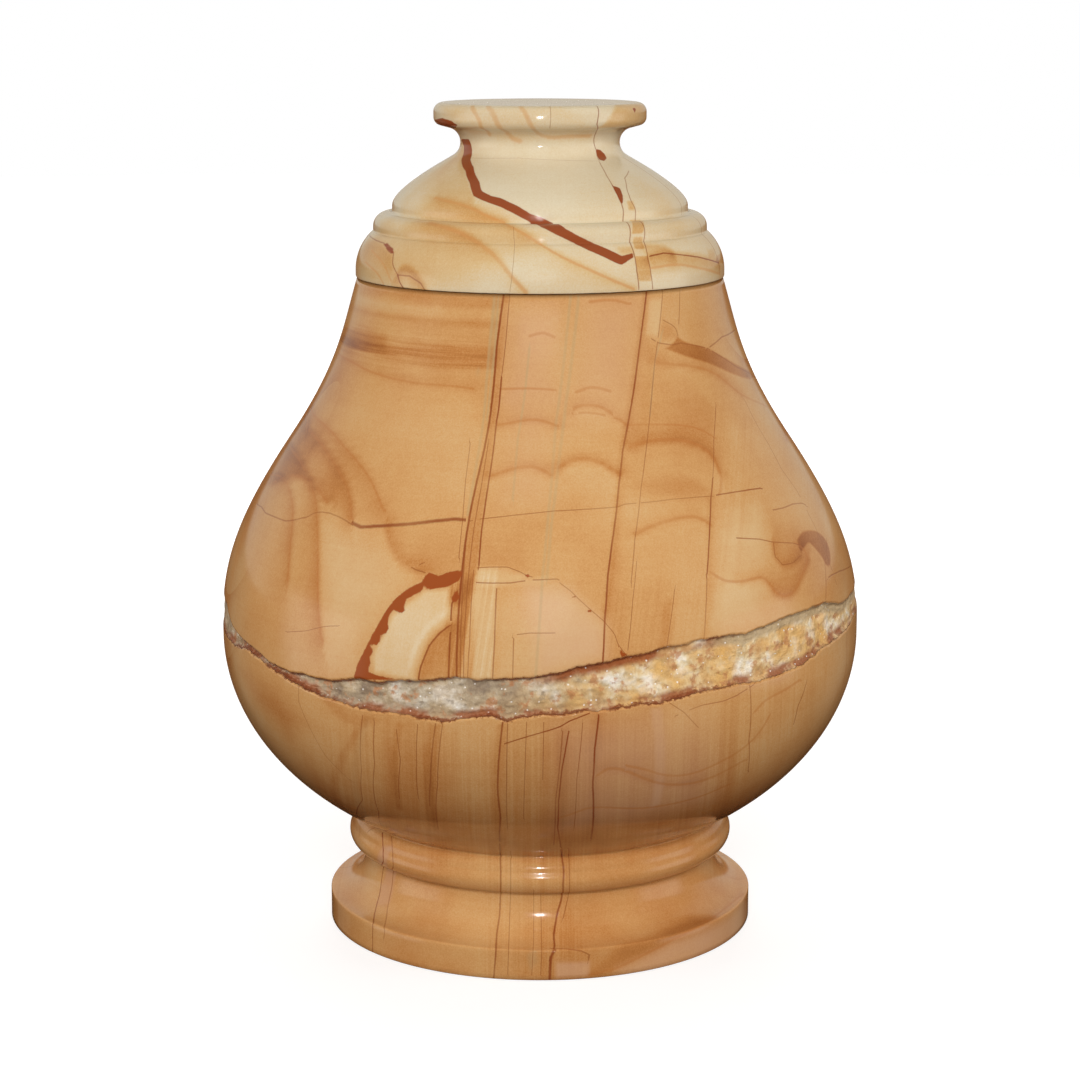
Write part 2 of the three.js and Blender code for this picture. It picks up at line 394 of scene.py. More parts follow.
reference_rows = np.r_[
    np.linspace(waist_height, WARP_FROM, 13)[1:],
    np.linspace(WARP_FROM, LOW - BORDER, 27)[1:],
    np.linspace(LOW - BORDER, HIGH + BORDER, 35)[1:],
    np.linspace(HIGH + BORDER, WARP_TO, 37)[1:],
    np.linspace(WARP_TO, RIM[1], 29)[1:]]
knots = [waist_height, WARP_FROM, LOW - BORDER, LOW, HIGH, HIGH + BORDER, WARP_TO, RIM[1]]
bowl_heights = np.empty((len(reference_rows), COLUMNS))
for column in range(COLUMNS):
    bottom, top = vein_low[column], vein_high[column]
    places = [waist_height, WARP_FROM, bottom - BORDER, bottom, top, top + BORDER, WARP_TO, RIM[1]]
    bowl_heights[:, column] = np.interp(reference_rows, knots, places)

bowl_radii = np.interp(bowl_heights, bowl_line[:, 1], bowl_line[:, 0])
foot_rows = np.repeat(foot_line[:, None, :], COLUMNS, axis=1)
inner_rows = np.repeat(inner_line[:, None, :], COLUMNS, axis=1)
body_radius = np.vstack([foot_rows[..., 0], bowl_radii, inner_rows[..., 0]])
body_height = np.vstack([foot_rows[..., 1], bowl_heights, inner_rows[..., 1]])
outer_count = len(foot_line) + len(reference_rows)
print("body rings:", len(body_radius), "triangles:", 2 * len(body_radius) * COLUMNS)

# %% [markdown]
# ## Markings as distances
# A crack is stored on the mesh as how far each place lies from it, and the material
# draws it where that distance is small. A distance changes evenly from corner to corner
# of a face, so a crack a third of a millimetre wide stays crisp on a coarser mesh. The
# sign tells the two sides apart, which keeps the middle of the crack at zero. Each face
# looks only to the crack nearest to it, because between two cracks the signs may differ.
#
# Soft changes of tone need no such care. They are added up on the vertices: a band is
# dark along one edge and fades on the other side, as iron does where water carried it
# through stone, and a wash fills an area.

# %% A surface that markings are laid on
FAR, NOT_INSIDE = 99.0, -99.0
TINY = 1e-9


def smooth(share):
    """A share from 0 to 1, eased at both ends."""
    return share ** 2 * (3 - 2 * share)


class Surface:
    """Azimuth, radius, height and outline length of every vertex in rings and columns."""

    def __init__(self, radius, height, line):
        here = np.arange(radius.size).reshape(radius.shape)
        ahead = np.roll(here, -1, axis=1)
        self.quads = np.stack([here[:-1], ahead[:-1], ahead[1:], here[1:]], axis=-1).reshape(-1, 4)
        self.azimuth = np.broadcast_to(azimuth, radius.shape).ravel()
        self.radius = radius.ravel()
        self.height = height.ravel()
        self.line_heights = line[:, 1]
        self.line_lengths = lengths(line)
        self.length = np.interp(self.height, self.line_heights, self.line_lengths)
        self.marks = {}
        self.lines = {}

    def values(self, mark, start):
        return self.marks.setdefault(mark, np.full(self.radius.shape, start))

    def nearest(self, path, closed, margin=14):
        """Vertices near a path, their distance from it, their side of it, if they are inside
        it and if they lie past one of its ends."""
        path = np.c_[path[:, 0], np.interp(path[:, 1], self.line_heights, self.line_lengths)]
        middle = (path[:, 0].min() + path[:, 0].max()) / 2
        spread = (path[:, 0].max() - path[:, 0].min()) / 2
        turn = np.abs((self.azimuth - middle + math.pi) % TURN - math.pi)
        close = (turn - spread) * self.radius < margin
        close &= (self.length > path[:, 1].min() - margin) & (self.length < path[:, 1].max() + margin)
        near = np.flatnonzero(close)
        if closed:
            path = np.vstack([path, path[:1]])
        turn = (path[None, :, 0] - self.azimuth[near, None] + math.pi) % TURN - math.pi
        x = turn * self.radius[near, None]
        y = path[None, :, 1] - self.length[near, None]
        from_x, from_y = x[:, :-1], y[:, :-1]
        along_x, along_y = np.diff(x, axis=1), np.diff(y, axis=1)
        size = along_x ** 2 + along_y ** 2 + TINY
        reached = -(from_x * along_x + from_y * along_y) / size
        share = np.clip(reached, 0, 1)
        distance = np.hypot(from_x + share * along_x, from_y + share * along_y)
        across = along_y * from_x - along_x * from_y
        # At a corner two stretches are equally near, and the one more nearly abreast is right.
        best = (distance - 1e-4 * np.abs(across) / np.sqrt(size)).argmin(axis=1)
        rows = np.arange(len(near))
        side = np.sign(across)[rows, best]
        past_end = (best == 0) & (reached[rows, best] < 0)
        past_end |= (best == share.shape[1] - 1) & (reached[rows, best] > 1)
        side[side == 0] = 1
        crosses = (y[:, :-1] > 0) != (y[:, 1:] > 0)
        meets = from_x - from_y * along_x / np.where(along_y == 0, TINY, along_y)
        inside = (crosses & (meets > 0)).sum(axis=1) % 2 == 1
        return near, distance[rows, best], side, inside, past_end

    def line(self, mark, half_width, path):
        """Signed distance in half widths, on the four corners of each face near the path."""
        kept = self.lines.setdefault(mark, np.full(self.quads.shape, FAR))
        near, distance, side, _, past_end = self.nearest(path, closed=False, margin=5)
        signed = np.full(self.radius.shape, np.nan)
        signed[near] = side * distance / half_width
        ended = np.zeros(self.radius.shape, bool)
        ended[near] = past_end
        offered = signed[self.quads]
        unsigned = ended[self.quads].all(axis=1)
        offered[unsigned] = np.abs(offered[unsigned])
        nearer = np.abs(offered).min(axis=1) < np.abs(kept).min(axis=1)
        kept[nearer] = offered[nearer]

    def patch(self, mark, softness, path):
        values = self.values(mark, NOT_INSIDE)
        near, distance, _, inside, _ = self.nearest(path, closed=True)
        value = np.where(inside, distance, -distance) / softness
        values[near] = np.maximum(values[near], value)

    def wash(self, mark, strength, softness, path):
        values = self.values(mark, 0.0)
        near, distance, _, inside, _ = self.nearest(path, closed=True, margin=14 + softness)
        share = np.clip(np.where(inside, distance, -distance) / softness / 2 + 0.5, 0, 1)
        values[near] += strength * smooth(share)

    def band(self, mark, strength, reach, path):
        """Dark to the left of the path as it is drawn, or to the right for a negative reach."""
        front_width = 2.0
        values = self.values(mark, 0.0)
        near, distance, side, _, _ = self.nearest(path, closed=False, margin=4 * abs(reach))
        depth = side * math.copysign(1, reach) * distance
        fading = np.exp(-np.maximum(depth, 0) / abs(reach))
        values[near] += strength * fading * np.clip(1 + depth / front_width, 0, 1)


def closer(pixels, step=5):
    """The same line in the photograph with a point every few pixels."""
    pixels = np.array(pixels, float)
    along = np.r_[0, np.cumsum(np.hypot(*np.diff(pixels, axis=0).T))]
    places = np.linspace(0, along[-1], 1 + int(along[-1] // step) + 1)
    return np.c_[np.interp(places, along, pixels[:, 0]), np.interp(places, along, pixels[:, 1])]


def rounded(path):
    """The same path with its corners cut twice, for the soft markings that have none."""
    for _ in range(2):
        near_first = path[:-1] * 0.75 + path[1:] * 0.25
        near_second = path[:-1] * 0.25 + path[1:] * 0.75
        cut = np.stack([near_first, near_second], axis=1).reshape(-1, 2)
        path = np.vstack([path[:1], cut, path[-1:]])
    return path


outer_line = joined(foot_line, bowl_line)
body_surface = Surface(body_radius[:outer_count], body_height[:outer_count], outer_line)
print("outer vertices on the body:", len(body_surface.radius))

# %% [markdown]
# The strongest markings are thin sheets where the stone once cracked and healed. They
# stand upright and lean a little, and iron in the water has stained them brown.

# %% Fractures read from the photograph, as half width in mm and pixels
IRON_LINES = {
    "level_crack": (0.6, [
        (353, 523), (361, 527), (380, 526), (410, 524), (435, 521), (455, 519), (468, 520)]),
    "upright_c": (0.3, [
        (647, 291), (643, 322), (639, 353), (635, 384), (631, 408), (627, 430), (623, 450),
        (619, 486), (617, 508), (612, 545), (608, 576), (605, 620), (603, 663)]),
    "upright_a": (0.36, [
        (504, 294), (501, 316), (497, 347), (494, 386), (490, 420), (485, 447), (477, 482),
        (472, 505), (466, 540), (462, 576), (457, 678)]),
    "upright_b": (0.26, [
        (502, 376), (499, 410), (497, 420), (493, 456), (487, 495), (482, 530), (479, 567)]),
    "arch_upright": (0.3, [(458, 592), (452, 604), (451, 630), (449, 678)]),
    "upright_f": (0.26, [(713, 478), (711, 500), (710, 525), (709, 545), (707, 575)]),
    "right_crack_dark": (0.24, [(711, 496), (723, 494), (735, 492), (748, 490), (761, 488)]),
    "orange_arc": (0.3, [
        (449, 626), (439, 634), (430, 645), (424, 659), (420, 670), (419, 679)]),
    "low_c": (0.3, [(599, 716), (595, 748), (593, 784), (591, 840)]),
    "low_middle": (0.3, [(503, 722), (499, 760), (498, 790), (501, 817), (500, 843)]),
    "low_right": (0.24, [(569, 731), (562, 770), (559, 800), (558, 828), (561, 848)]),
    "low_slant_a": (0.22, [(504, 744), (523, 738), (547, 731), (560, 727), (570, 721), (590, 713)]),
    "foot_middle": (0.3, [
        (500, 843), (501, 866), (501, 888), (500, 915), (497, 935), (496, 955), (494, 978)]),
    "foot_right": (0.34, [
        (561, 848), (564, 870), (563, 894), (557, 915), (554, 935), (555, 948), (550, 958),
        (549, 979)]),
    "foot_right_low": (0.5, [(555, 950), (551, 957), (550, 979)]),
    "foot_left": (0.26, [
        (383, 833), (384, 865), (380, 894), (375, 913), (373, 930), (373, 952)]),
}
HAIR_LINES = {
    "level_left": (0.26, [
        (257, 504), (262, 507), (266, 513), (273, 516), (286, 521), (295, 520), (302, 518),
        (308, 517), (314, 513), (322, 512), (330, 513), (340, 517), (347, 521), (353, 525)]),
    "level_right": (0.17, [
        (471, 521), (480, 519), (516, 515), (553, 511), (589, 509), (618, 507),
        (625, 504), (650, 502), (674, 499), (698, 497), (712, 496)]),
    "beside_a": (0.15, [(510, 294), (506, 343), (502, 376)]),
    "between_a": (0.17, [(489, 440), (481, 490), (474, 530), (471, 555), (464, 678)]),
    "between_b": (0.15, [(471, 440), (466, 480), (463, 520), (459, 560)]),
    "arch_line_a": (0.22, [(466, 545), (462, 610), (461, 678)]),
    "arch_line_b": (0.15, [(474, 570), (470, 640), (468, 678)]),
    "upright_d": (0.18, [
        (663, 291), (660, 325), (655, 362), (650, 416), (645, 460), (641, 490), (635, 540),
        (631, 585)]),
    "upright_e": (0.18, [(680, 290), (679, 326)]),
    "upright_f_up": (0.16, [(716, 405), (714, 440), (713, 478)]),
    "upright_f_low": (0.2, [(707, 575), (706, 610), (704, 640)]),
    "upright_g": (0.15, [(675, 587), (670, 627), (667, 646)]),
    "upright_h": (0.14, [(637, 560), (633, 600), (628, 650)]),
    "crack_up_right": (0.24, [(773, 510), (783, 508), (793, 504), (802, 503), (806, 505)]),
    "crack_right": (0.22, [(737, 538), (759, 539), (773, 542), (793, 543), (800, 545)]),
    "arc_right": (0.22, [(774, 544), (775, 556), (783, 565), (793, 563), (800, 556)]),
    "upright_right": (0.22, [(827, 540), (825, 563), (826, 599)]),
    "slant_right": (0.24, [(828, 578), (832, 575), (840, 571), (852, 563)]),
    "curl_right": (0.22, [(816, 606), (823, 602), (828, 604), (833, 605)]),
    "arch_right": (0.15, [
        (476, 568), (489, 567), (508, 567), (521, 572), (528, 576), (545, 579), (559, 582),
        (571, 591), (580, 600), (590, 609), (604, 621), (615, 634), (618, 644), (627, 656)]),
    "arch_inner": (0.2, [(466, 582), (490, 583), (510, 583), (530, 580), (558, 579)]),
    "arch_stripe": (0.24, [(497, 586), (495, 640), (493, 678)]),
    "box_side": (0.18, [(514, 638), (513, 678)]),
    "box_top": (0.16, [(514, 635), (530, 633), (555, 633)]),
    "stain_upper": (0.24, [(681, 343), (693, 345), (707, 348), (722, 357), (737, 367), (756, 378)]),
    "stain_edge": (0.24, [(652, 339), (659, 343), (672, 345), (681, 343)]),
    "stain_left": (0.2, [(663, 320), (674, 326), (678, 332), (678, 337)]),
    "stain_branch": (0.26, [(707, 349), (722, 337), (735, 330)]),
    "arch_twig": (0.22, [(413, 568), (417, 570), (424, 572)]),
    "arch_twig_up": (0.18, [(415, 569), (419, 565), (423, 563)]),
    "left_level": (0.14, [(287, 632), (306, 631), (322, 627), (330, 626), (338, 626)]),
    "low_left_a": (0.2, [(363, 716), (362, 770), (363, 800), (368, 832)]),
    "low_left_b": (0.2, [(375, 720), (375, 764), (379, 812), (382, 826)]),
    "low_left_c": (0.16, [(397, 730), (401, 760), (400, 800)]),
    "low_left_d": (0.16, [(418, 725), (417, 760), (419, 800)]),
    "low_left_e": (0.24, [(436, 724), (431, 780), (430, 806)]),
    "low_left_f": (0.18, [(443, 724), (438, 784), (439, 830)]),
    "low_mid_a": (0.2, [(508, 724), (507, 780), (508, 830)]),
    "low_mid_b": (0.15, [(527, 722), (525, 780), (524, 820)]),
    "low_mid_c": (0.15, [(544, 722), (543, 780)]),
    "low_mid_d": (0.2, [(563, 730), (556, 800), (554, 845)]),
    "low_mid_e": (0.15, [(583, 722), (577, 780), (574, 830)]),
    "low_far": (0.2, [(750, 686), (749, 740), (748, 772)]),
    "low_slant_b": (0.18, [(676, 716), (684, 712), (703, 705), (724, 701), (736, 696), (755, 684)]),
    "low_slant_c": (0.16, [(670, 703), (684, 712), (698, 727)]),
    "low_dashes": (0.22, [(807, 681), (803, 695), (798, 706), (794, 724)]),
    "low_curve": (0.13, [(299, 687), (299, 701), (306, 719), (315, 737), (326, 756), (350, 780)]),
    "foot_light": (0.24, [(392, 837), (394, 868), (392, 888), (388, 907), (384, 940)]),
    "foot_mid_a": (0.16, [(511, 850), (511, 890), (508, 975)]),
    "foot_mid_b": (0.18, [(569, 848), (570, 890), (563, 920)]),
    "foot_mid_c": (0.14, [(534, 890), (534, 940), (532, 975)]),
    "foot_mid_d": (0.14, [(541, 895), (542, 950), (541, 975)]),
    "chip_edge": (0.24, [(552, 948), (568, 949), (582, 951), (590, 955), (588, 962)]),
}
ASH_LINES = {
    "beside_iron": (0.5, [(495, 297), (490, 344), (487, 380), (484, 420), (475, 474), (468, 515)]),
    "beside_iron_b": (0.35, [(499, 296), (495, 350), (491, 385), (487, 420)]),
    "grey_a": (0.5, [(571, 294), (563, 372), (556, 425), (549, 512), (543, 575), (536, 676)]),
    "grey_b": (0.55, [(579, 296), (572, 360), (566, 405), (560, 454), (552, 520), (547, 580)]),
    "grey_c": (0.4, [(530, 345), (525, 395), (518, 440), (513, 500)]),
    "grey_d": (0.35, [(663, 330), (655, 362), (650, 416)]),
}
SOFT_LINES = {
    "shoulder_two": (0.4, [
        (338, 353), (350, 360), (363, 368), (377, 374), (395, 379), (422, 384), (457, 386), (474, 389)]),
    "arc_one": (0.45, [
        (311, 408), (329, 427), (342, 443), (361, 464), (374, 484), (384, 510)]),
    "arc_two": (0.5, [
        (304, 420), (319, 438), (333, 459), (345, 480), (351, 498), (352, 518)]),
    "arc_three": (0.45, [
        (290, 445), (299, 457), (308, 473), (315, 493), (318, 512), (320, 560), (322, 640)]),
    "arc_four": (0.45, [
        (271, 475), (280, 475), (287, 482), (293, 498), (294, 519), (290, 560), (288, 580)]),
    "arch_a": (0.5, [(590, 302), (611, 299), (630, 304)]),
    "arch_b": (0.5, [(530, 336), (543, 332), (555, 337)]),
    "arch_c": (0.4, [(500, 389), (530, 388), (556, 390)]),
    "arch_d": (0.5, [(577, 392), (592, 386), (610, 391)]),
    "arch_e": (0.5, [(499, 425), (515, 422), (531, 419), (545, 421), (557, 426)]),
    "arch_f": (0.5, [(572, 411), (577, 406), (589, 405), (601, 406), (616, 416), (628, 426)]),
    "arch_g": (0.4, [(573, 414), (587, 412), (606, 415), (625, 421)]),
    "arch_h": (0.6, [(492, 476), (511, 469), (528, 466), (540, 468), (551, 475)]),
    "arch_i": (0.7, [(560, 467), (569, 461), (584, 458), (601, 462), (612, 469), (620, 474)]),
    "arch_j": (0.4, [(628, 425), (654, 424), (686, 425), (703, 430), (715, 438)]),
    "arch_k": (0.6, [
        (630, 447), (650, 440), (674, 439), (693, 442), (708, 450), (715, 459), (720, 471),
        (722, 481), (720, 493)]),
    "arch_l": (0.6, [
        (635, 534), (654, 525), (674, 519), (691, 516), (703, 519), (710, 524)]),
    "under_stain": (0.5, [
        (657, 363), (686, 365), (710, 370), (727, 382), (742, 396), (766, 406)]),
    "wave_right": (0.5, [
        (712, 573), (724, 581), (741, 582), (755, 578), (764, 577), (771, 585), (776, 593),
        (785, 597), (795, 592), (802, 575), (809, 559), (804, 549), (795, 542)]),
    "wave_low_a": (0.6, [
        (599, 775), (606, 769), (615, 768), (628, 771), (645, 779), (662, 784), (680, 785),
        (700, 782), (722, 773), (745, 760)]),
    "wave_low_b": (0.5, [
        (628, 766), (645, 769), (665, 776), (690, 775), (715, 765), (742, 750), (760, 733),
        (770, 715)]),
    "wave_low_c": (0.5, [
        (559, 818), (575, 813), (592, 806), (640, 809), (672, 804), (700, 797), (730, 784)]),
    "wave_low_d": (0.5, [(755, 712), (765, 700), (785, 690), (800, 680)]),
    "foot_slant": (0.5, [
        (590, 975), (618, 968), (644, 955), (673, 940), (714, 917), (743, 894)]),
}


def lay_lines(surface, tables):
    """Lays every line of each table. Soft lines are rounded, as water leaves no corners."""
    for mark, lines in tables.items():
        for name, (half_width, pixels) in lines.items():
            # The foot's mouldings turn in and out, so lines there need many points.
            path = cast(closer(pixels) if name.startswith("foot") else pixels)
            surface.line(mark, half_width, rounded(path) if mark == "soft" else path)


lay_lines(body_surface, {"iron": IRON_LINES, "hair": HAIR_LINES, "ash": ASH_LINES, "soft": SOFT_LINES})
print("fractures laid:", len(IRON_LINES) + len(HAIR_LINES) + len(ASH_LINES) + len(SOFT_LINES))

# %% [markdown]
# Bands of tone come next. Tone 0 is the plain tan of the stone, 1 is deep rust, and
# below 0 is cream. Each band has its strength, how far it fades in mm, and its path.
# Many of them follow a line that is already laid, or some of its points.

# %% Bands of tone beside the lines, and along paths of their own
WHOLE = slice(None)
BANDS_BESIDE = {
    "shoulder_two": (0.1, 3, WHOLE), "arc_one": (0.14, -5, WHOLE), "arc_two": (0.22, -4, WHOLE),
    "arc_three": (0.24, -5, WHOLE), "arc_four": (0.2, -4, WHOLE), "arch_e": (0.14, 2.5, WHOLE),
    "arch_f": (0.14, 2.5, WHOLE), "arch_h": (0.16, 3, WHOLE), "arch_i": (0.24, 2.5, WHOLE),
    "arch_k": (0.2, 3, slice(7)), "arch_l": (0.12, 3, WHOLE), "under_stain": (0.14, 3, slice(5)),
    "wave_right": (0.2, 3.5, slice(2, 11)), "wave_low_a": (0.14, 3, slice(1, 8)),
    "arc_right": (0.2, 3, WHOLE), "orange_arc": (0.24, 3, WHOLE),
}
BANDS = {
    "under_lid": (0.16, 4.5, [(361, 291), (386, 294), (413, 299), (439, 302), (499, 304)]),
    "fringe": (0.22, 4, [(388, 527), (390, 540), (396, 554), (406, 564), (424, 572)]),
    "arch_orange": (-0.2, 5, [(451, 612), (433, 625), (421, 640), (413, 660), (412, 678)]),
    "low_left_arc": (0.1, 4, [(326, 700), (338, 714), (352, 722), (374, 721)]),
    "upright_c_shade": (0.14, 1.5, [(647, 291), (635, 384), (623, 450), (617, 508), (605, 620)]),
    "upright_f_shade": (0.12, 3, [(711, 500), (709, 545), (704, 640)]),
    "low_c_shade": (0.12, 2, [(591, 840), (593, 784), (599, 716)]),
}


def lay_bands(surface, beside, lines, own):
    """Lays the bands that follow a line, and then those with a path of their own."""
    for name, (strength, reach, points) in beside.items():
        surface.band("tone", strength, reach, rounded(cast(lines[name][1][points])))
    for strength, reach, pixels in own.values():
        surface.band("tone", strength, reach, rounded(cast(pixels)))


lay_bands(body_surface, BANDS_BESIDE, {**SOFT_LINES, **HAIR_LINES, **IRON_LINES}, BANDS)
print("bands laid:", len(BANDS_BESIDE) + len(BANDS))

# %% [markdown]
# A wash fills an area with more or less tone. Each has its strength, how softly its edge
# fades in mm, and its outline. On the lower bowl, narrow ones make the upright stripes.

# %% Washes of tone
TONE_WASHES = {
    "shoulder_upper": (0.16, 1.6, [
        (350, 303), (368, 309), (386, 313), (404, 316), (422, 319), (440, 321), (499, 322),
        (498, 327), (440, 326), (422, 324), (404, 321), (386, 318), (368, 314), (350, 309)]),
    "shoulder_band": (0.12, 1.2, [
        (346, 325), (368, 333), (386, 338), (404, 342), (439, 343), (499, 345), (497, 366),
        (439, 363), (413, 360), (386, 358), (368, 352), (340, 341)]),
    "shoulder_core": (0.1, 2.4, [
        (346, 334), (368, 341), (386, 347), (404, 351), (440, 352), (499, 353), (497, 363),
        (440, 361), (404, 358), (386, 355), (368, 350), (342, 339)]),
    "shoulder_left": (0.14, 2, [(343, 326), (368, 333), (386, 338), (386, 352), (368, 349), (338, 340)]),
    "iron_pair": (0.1, 1.2, [
        (504, 294), (509, 294), (502, 376), (497, 420), (485, 505), (478, 567), (458, 670),
        (466, 540), (472, 505), (490, 420), (497, 347)]),
    "dark_arch": (0.12, 2.5, [
        (624, 486), (650, 478), (681, 475), (700, 481), (713, 494), (690, 499), (650, 495)]),
    # The next two washes are painted reflection: they lighten the belly where its polish mirrors the bright
    # wall on that side
    "right_painted_sheen": (-0.2, 8, [(713, 520), (760, 515), (768, 560), (755, 610), (709, 625)]),
    # Painted reflection of the left wall, as a lighter wash
    "left_painted_sheen": (-0.14, 9, [
        (328, 530), (388, 530), (410, 575), (372, 625), (352, 665), (330, 660)]),
    "low_stripe_a": (0.08, 0.8, [(365, 716), (373, 716), (374, 830), (366, 830)]),
    "low_stripe_b": (0.1, 0.8, [(430, 724), (443, 724), (440, 825), (430, 825)]),
    "low_stripe_c": (0.1, 0.8, [(396, 724), (403, 724), (404, 810), (398, 810)]),
    "low_stripe_d": (0.12, 0.8, [(497, 724), (506, 724), (505, 840), (497, 840)]),
    "low_stripe_e": (0.09, 0.8, [(556, 730), (568, 730), (562, 840), (553, 840)]),
    "left_edge": (0.16, 6, [
        (303, 425), (314, 446), (300, 470), (286, 474), (268, 482), (250, 515), (238, 520),
        (262, 470)]),
    "upper_left_pale": (-0.07, 10, [
        (345, 375), (400, 395), (478, 402), (466, 505), (400, 515), (370, 450)]),
    "under_lid_pale": (-0.1, 4, [(359, 296), (400, 304), (440, 308), (430, 317), (400, 313), (356, 304)]),
    "stripes_in_arch": (0.12, 1.2, [(450, 592), (474, 575), (473, 678), (449, 678)]),
    "arch_orange_area": (0.1, 1.5, [(450, 626), (436, 640), (424, 662), (421, 678), (450, 678)]),
    "pale_stripe": (-0.12, 0.8, [(478, 569), (497, 569), (493, 678), (475, 678)]),
    "inside_arch": (-0.3, 1.0, [
        (408, 678), (375, 672), (373, 655), (384, 636), (393, 616), (408, 604), (425, 592),
        (450, 588), (451, 612), (433, 625), (421, 640), (413, 660)]),
    "arch_top_right": (-0.18, 1.0, [
        (480, 569), (508, 569), (528, 577), (556, 581), (530, 582), (497, 584), (480, 583)]),
    "arch_right_pale": (-0.1, 3, [
        (500, 584), (555, 584), (575, 598), (604, 624), (603, 660), (540, 674), (498, 678)]),
    "right_stain_soft": (0.12, 1.6, [(664, 321), (674, 327), (678, 337), (664, 338), (660, 330)]),
    "right_pale_stripe": (-0.14, 0.8, [(649, 299), (662, 299), (659, 337), (646, 337)]),
    "right_orange": (0.1, 8, [(770, 520), (850, 540), (850, 580), (815, 600), (775, 590)]),
    "right_edge": (0.14, 6, [(757, 378), (790, 440), (830, 500), (848, 520), (800, 452)]),
    "centre_right": (0.05, 2, [(648, 340), (714, 405), (710, 505), (618, 506)]),
    "upright_g_shade": (0.14, 2, [(672, 600), (669, 646), (660, 650), (664, 610)]),
    "low_left_rust": (0.22, 10, [(244, 672), (276, 690), (300, 720), (290, 735), (258, 705)]),
    "low_all": (0.08, 14, [(330, 730), (430, 735), (600, 730), (700, 720), (700, 830), (400, 830)]),
    "foot_slant": (0.14, 2.5, [
        (590, 975), (618, 968), (644, 955), (673, 940), (714, 917), (690, 915), (620, 945)]),
    "foot_left": (0.12, 1.0, [(383, 846), (393, 846), (394, 884), (388, 907), (377, 905), (382, 884)]),
}
print("washes of tone:", len(TONE_WASHES))

# %% [markdown]
# Other washes say where the stone is finely striped, where level layers comb it, and
# where it turns pink or grey. Patches have an edge: deep rust, and brown stains.

# %% Stripes, pink and grey stone, stains and rust
STRIPED_WASHES = {
    "low": (0.45, 8, [(345, 716), (600, 724), (690, 706), (700, 830), (360, 830)]),
    "low_right": (0.4, 8, [(700, 700), (840, 640), (790, 740), (700, 800)]),
    "arch": (1.0, 1, [(448, 575), (498, 570), (494, 678), (448, 678)]),
    "arch_pale": (0.2, 2, [(375, 640), (448, 600), (448, 678), (375, 678)]),
    "right": (0.35, 6, [(716, 410), (750, 420), (752, 510), (714, 600)]),
    "right_low": (0.3, 6, [(610, 600), (700, 560), (700, 640), (610, 655)]),
    "foot_middle": (0.35, 6, [(480, 850), (590, 850), (590, 978), (480, 978)]),
}
COMBED_WASHES = {
    "shoulder": (1.0, 4, [(343, 322), (400, 336), (491, 340), (488, 370), (400, 365), (337, 345)]),
}
STAINS_WITH_EDGES = {
    "right_stain": (0.9, [
        (678, 337), (686, 343), (707, 348), (722, 356), (737, 365), (754, 375), (750, 380),
        (732, 374), (710, 363), (688, 357), (672, 351), (660, 346), (671, 346)]),
    "right_loop": (0.8, [
        (797, 541), (801, 533), (808, 530), (817, 531), (825, 538), (830, 549), (831, 565),
        (827, 567), (822, 556), (815, 548), (809, 541), (805, 546), (801, 552)]),
}
RUST_PATCHES = {
    "arch_rim": (0.3, [
        (354, 679), (358, 664), (367, 646), (377, 627), (386, 611), (397, 597), (411, 587),
        (427, 580), (423, 572), (432, 573), (439, 576), (448, 572), (463, 570), (462, 577),
        (459, 581), (448, 587), (432, 589), (423, 587), (427, 592), (416, 594), (407, 599),
        (404, 602), (406, 609), (402, 614), (394, 610), (391, 613), (389, 617), (388, 625),
        (390, 632), (385, 635), (381, 634), (380, 645), (376, 645), (371, 642), (371, 648),
        (374, 653), (370, 656), (371, 663), (368, 672), (380, 676), (404, 680)]),
    "arch_end": (0.3, [(618, 644), (622, 650), (628, 655), (622, 658), (619, 650)]),
    "arch_dot_a": (0.3, [(524, 572), (530, 575), (531, 578), (526, 578)]),
    "arch_dot_b": (0.25, [(573, 595), (577, 597), (576, 601), (572, 600)]),
    "arch_dot_c": (0.25, [(588, 608), (592, 610), (591, 614), (588, 612)]),
    "arch_spot": (0.3, [(441, 622), (445, 622), (445, 626), (441, 626)]),
    "arch_corner": (0.3, [(452, 594), (458, 590), (460, 598), (455, 604), (452, 602)]),
}
PINK_WASHES = {
    "arch_right": (0.8, 5, [(530, 590), (568, 592), (603, 625), (604, 655), (540, 672)]),
    "compartment": (0.4, 6, [(511, 312), (560, 312), (556, 400), (508, 400)]),
    "low": (0.45, 10, [(560, 730), (700, 712), (710, 800), (560, 830)]),
    "low_band": (0.4, 0.8, [(651, 709), (662, 708), (660, 805), (651, 808)]),
    "centre_left": (0.35, 8, [(511, 400), (556, 400), (545, 500), (505, 500)]),
    "centre_right": (0.4, 8, [(585, 300), (640, 300), (625, 420), (570, 420)]),
    "chip": (0.6, 1.0, [(556, 962), (590, 962), (589, 976), (556, 978)]),
    "foot_right": (0.7, 3, [(618, 970), (673, 943), (745, 900), (750, 925), (690, 960), (630, 976)]),
    "foot_band": (0.6, 1.0, [(383, 846), (393, 846), (394, 884), (389, 905), (377, 905), (382, 884)]),
}
GREY_WASHES = {
    "beside_a": (0.35, 0.8, [(493, 296), (501, 296), (494, 372), (489, 372)]),
    "low_left": (0.2, 0.8, [(365, 718), (372, 718), (371, 818), (366, 818)]),
    "left_level": (0.4, 0.6, [(477, 369), (480, 369), (480, 376), (477, 376)]),
    "chips": (0.4, 0.8, [(527, 954), (536, 950), (538, 962), (530, 970)]),
}


def lay_areas(surface, washes, patches):
    """Lays every wash and every patch of each table."""
    for mark, table in washes.items():
        for strength, softness, pixels in table.values():
            surface.wash(mark, strength, softness, cast(pixels))
    for mark, table in patches.items():
        for softness, pixels in table.values():
            surface.patch(mark, softness, cast(pixels))


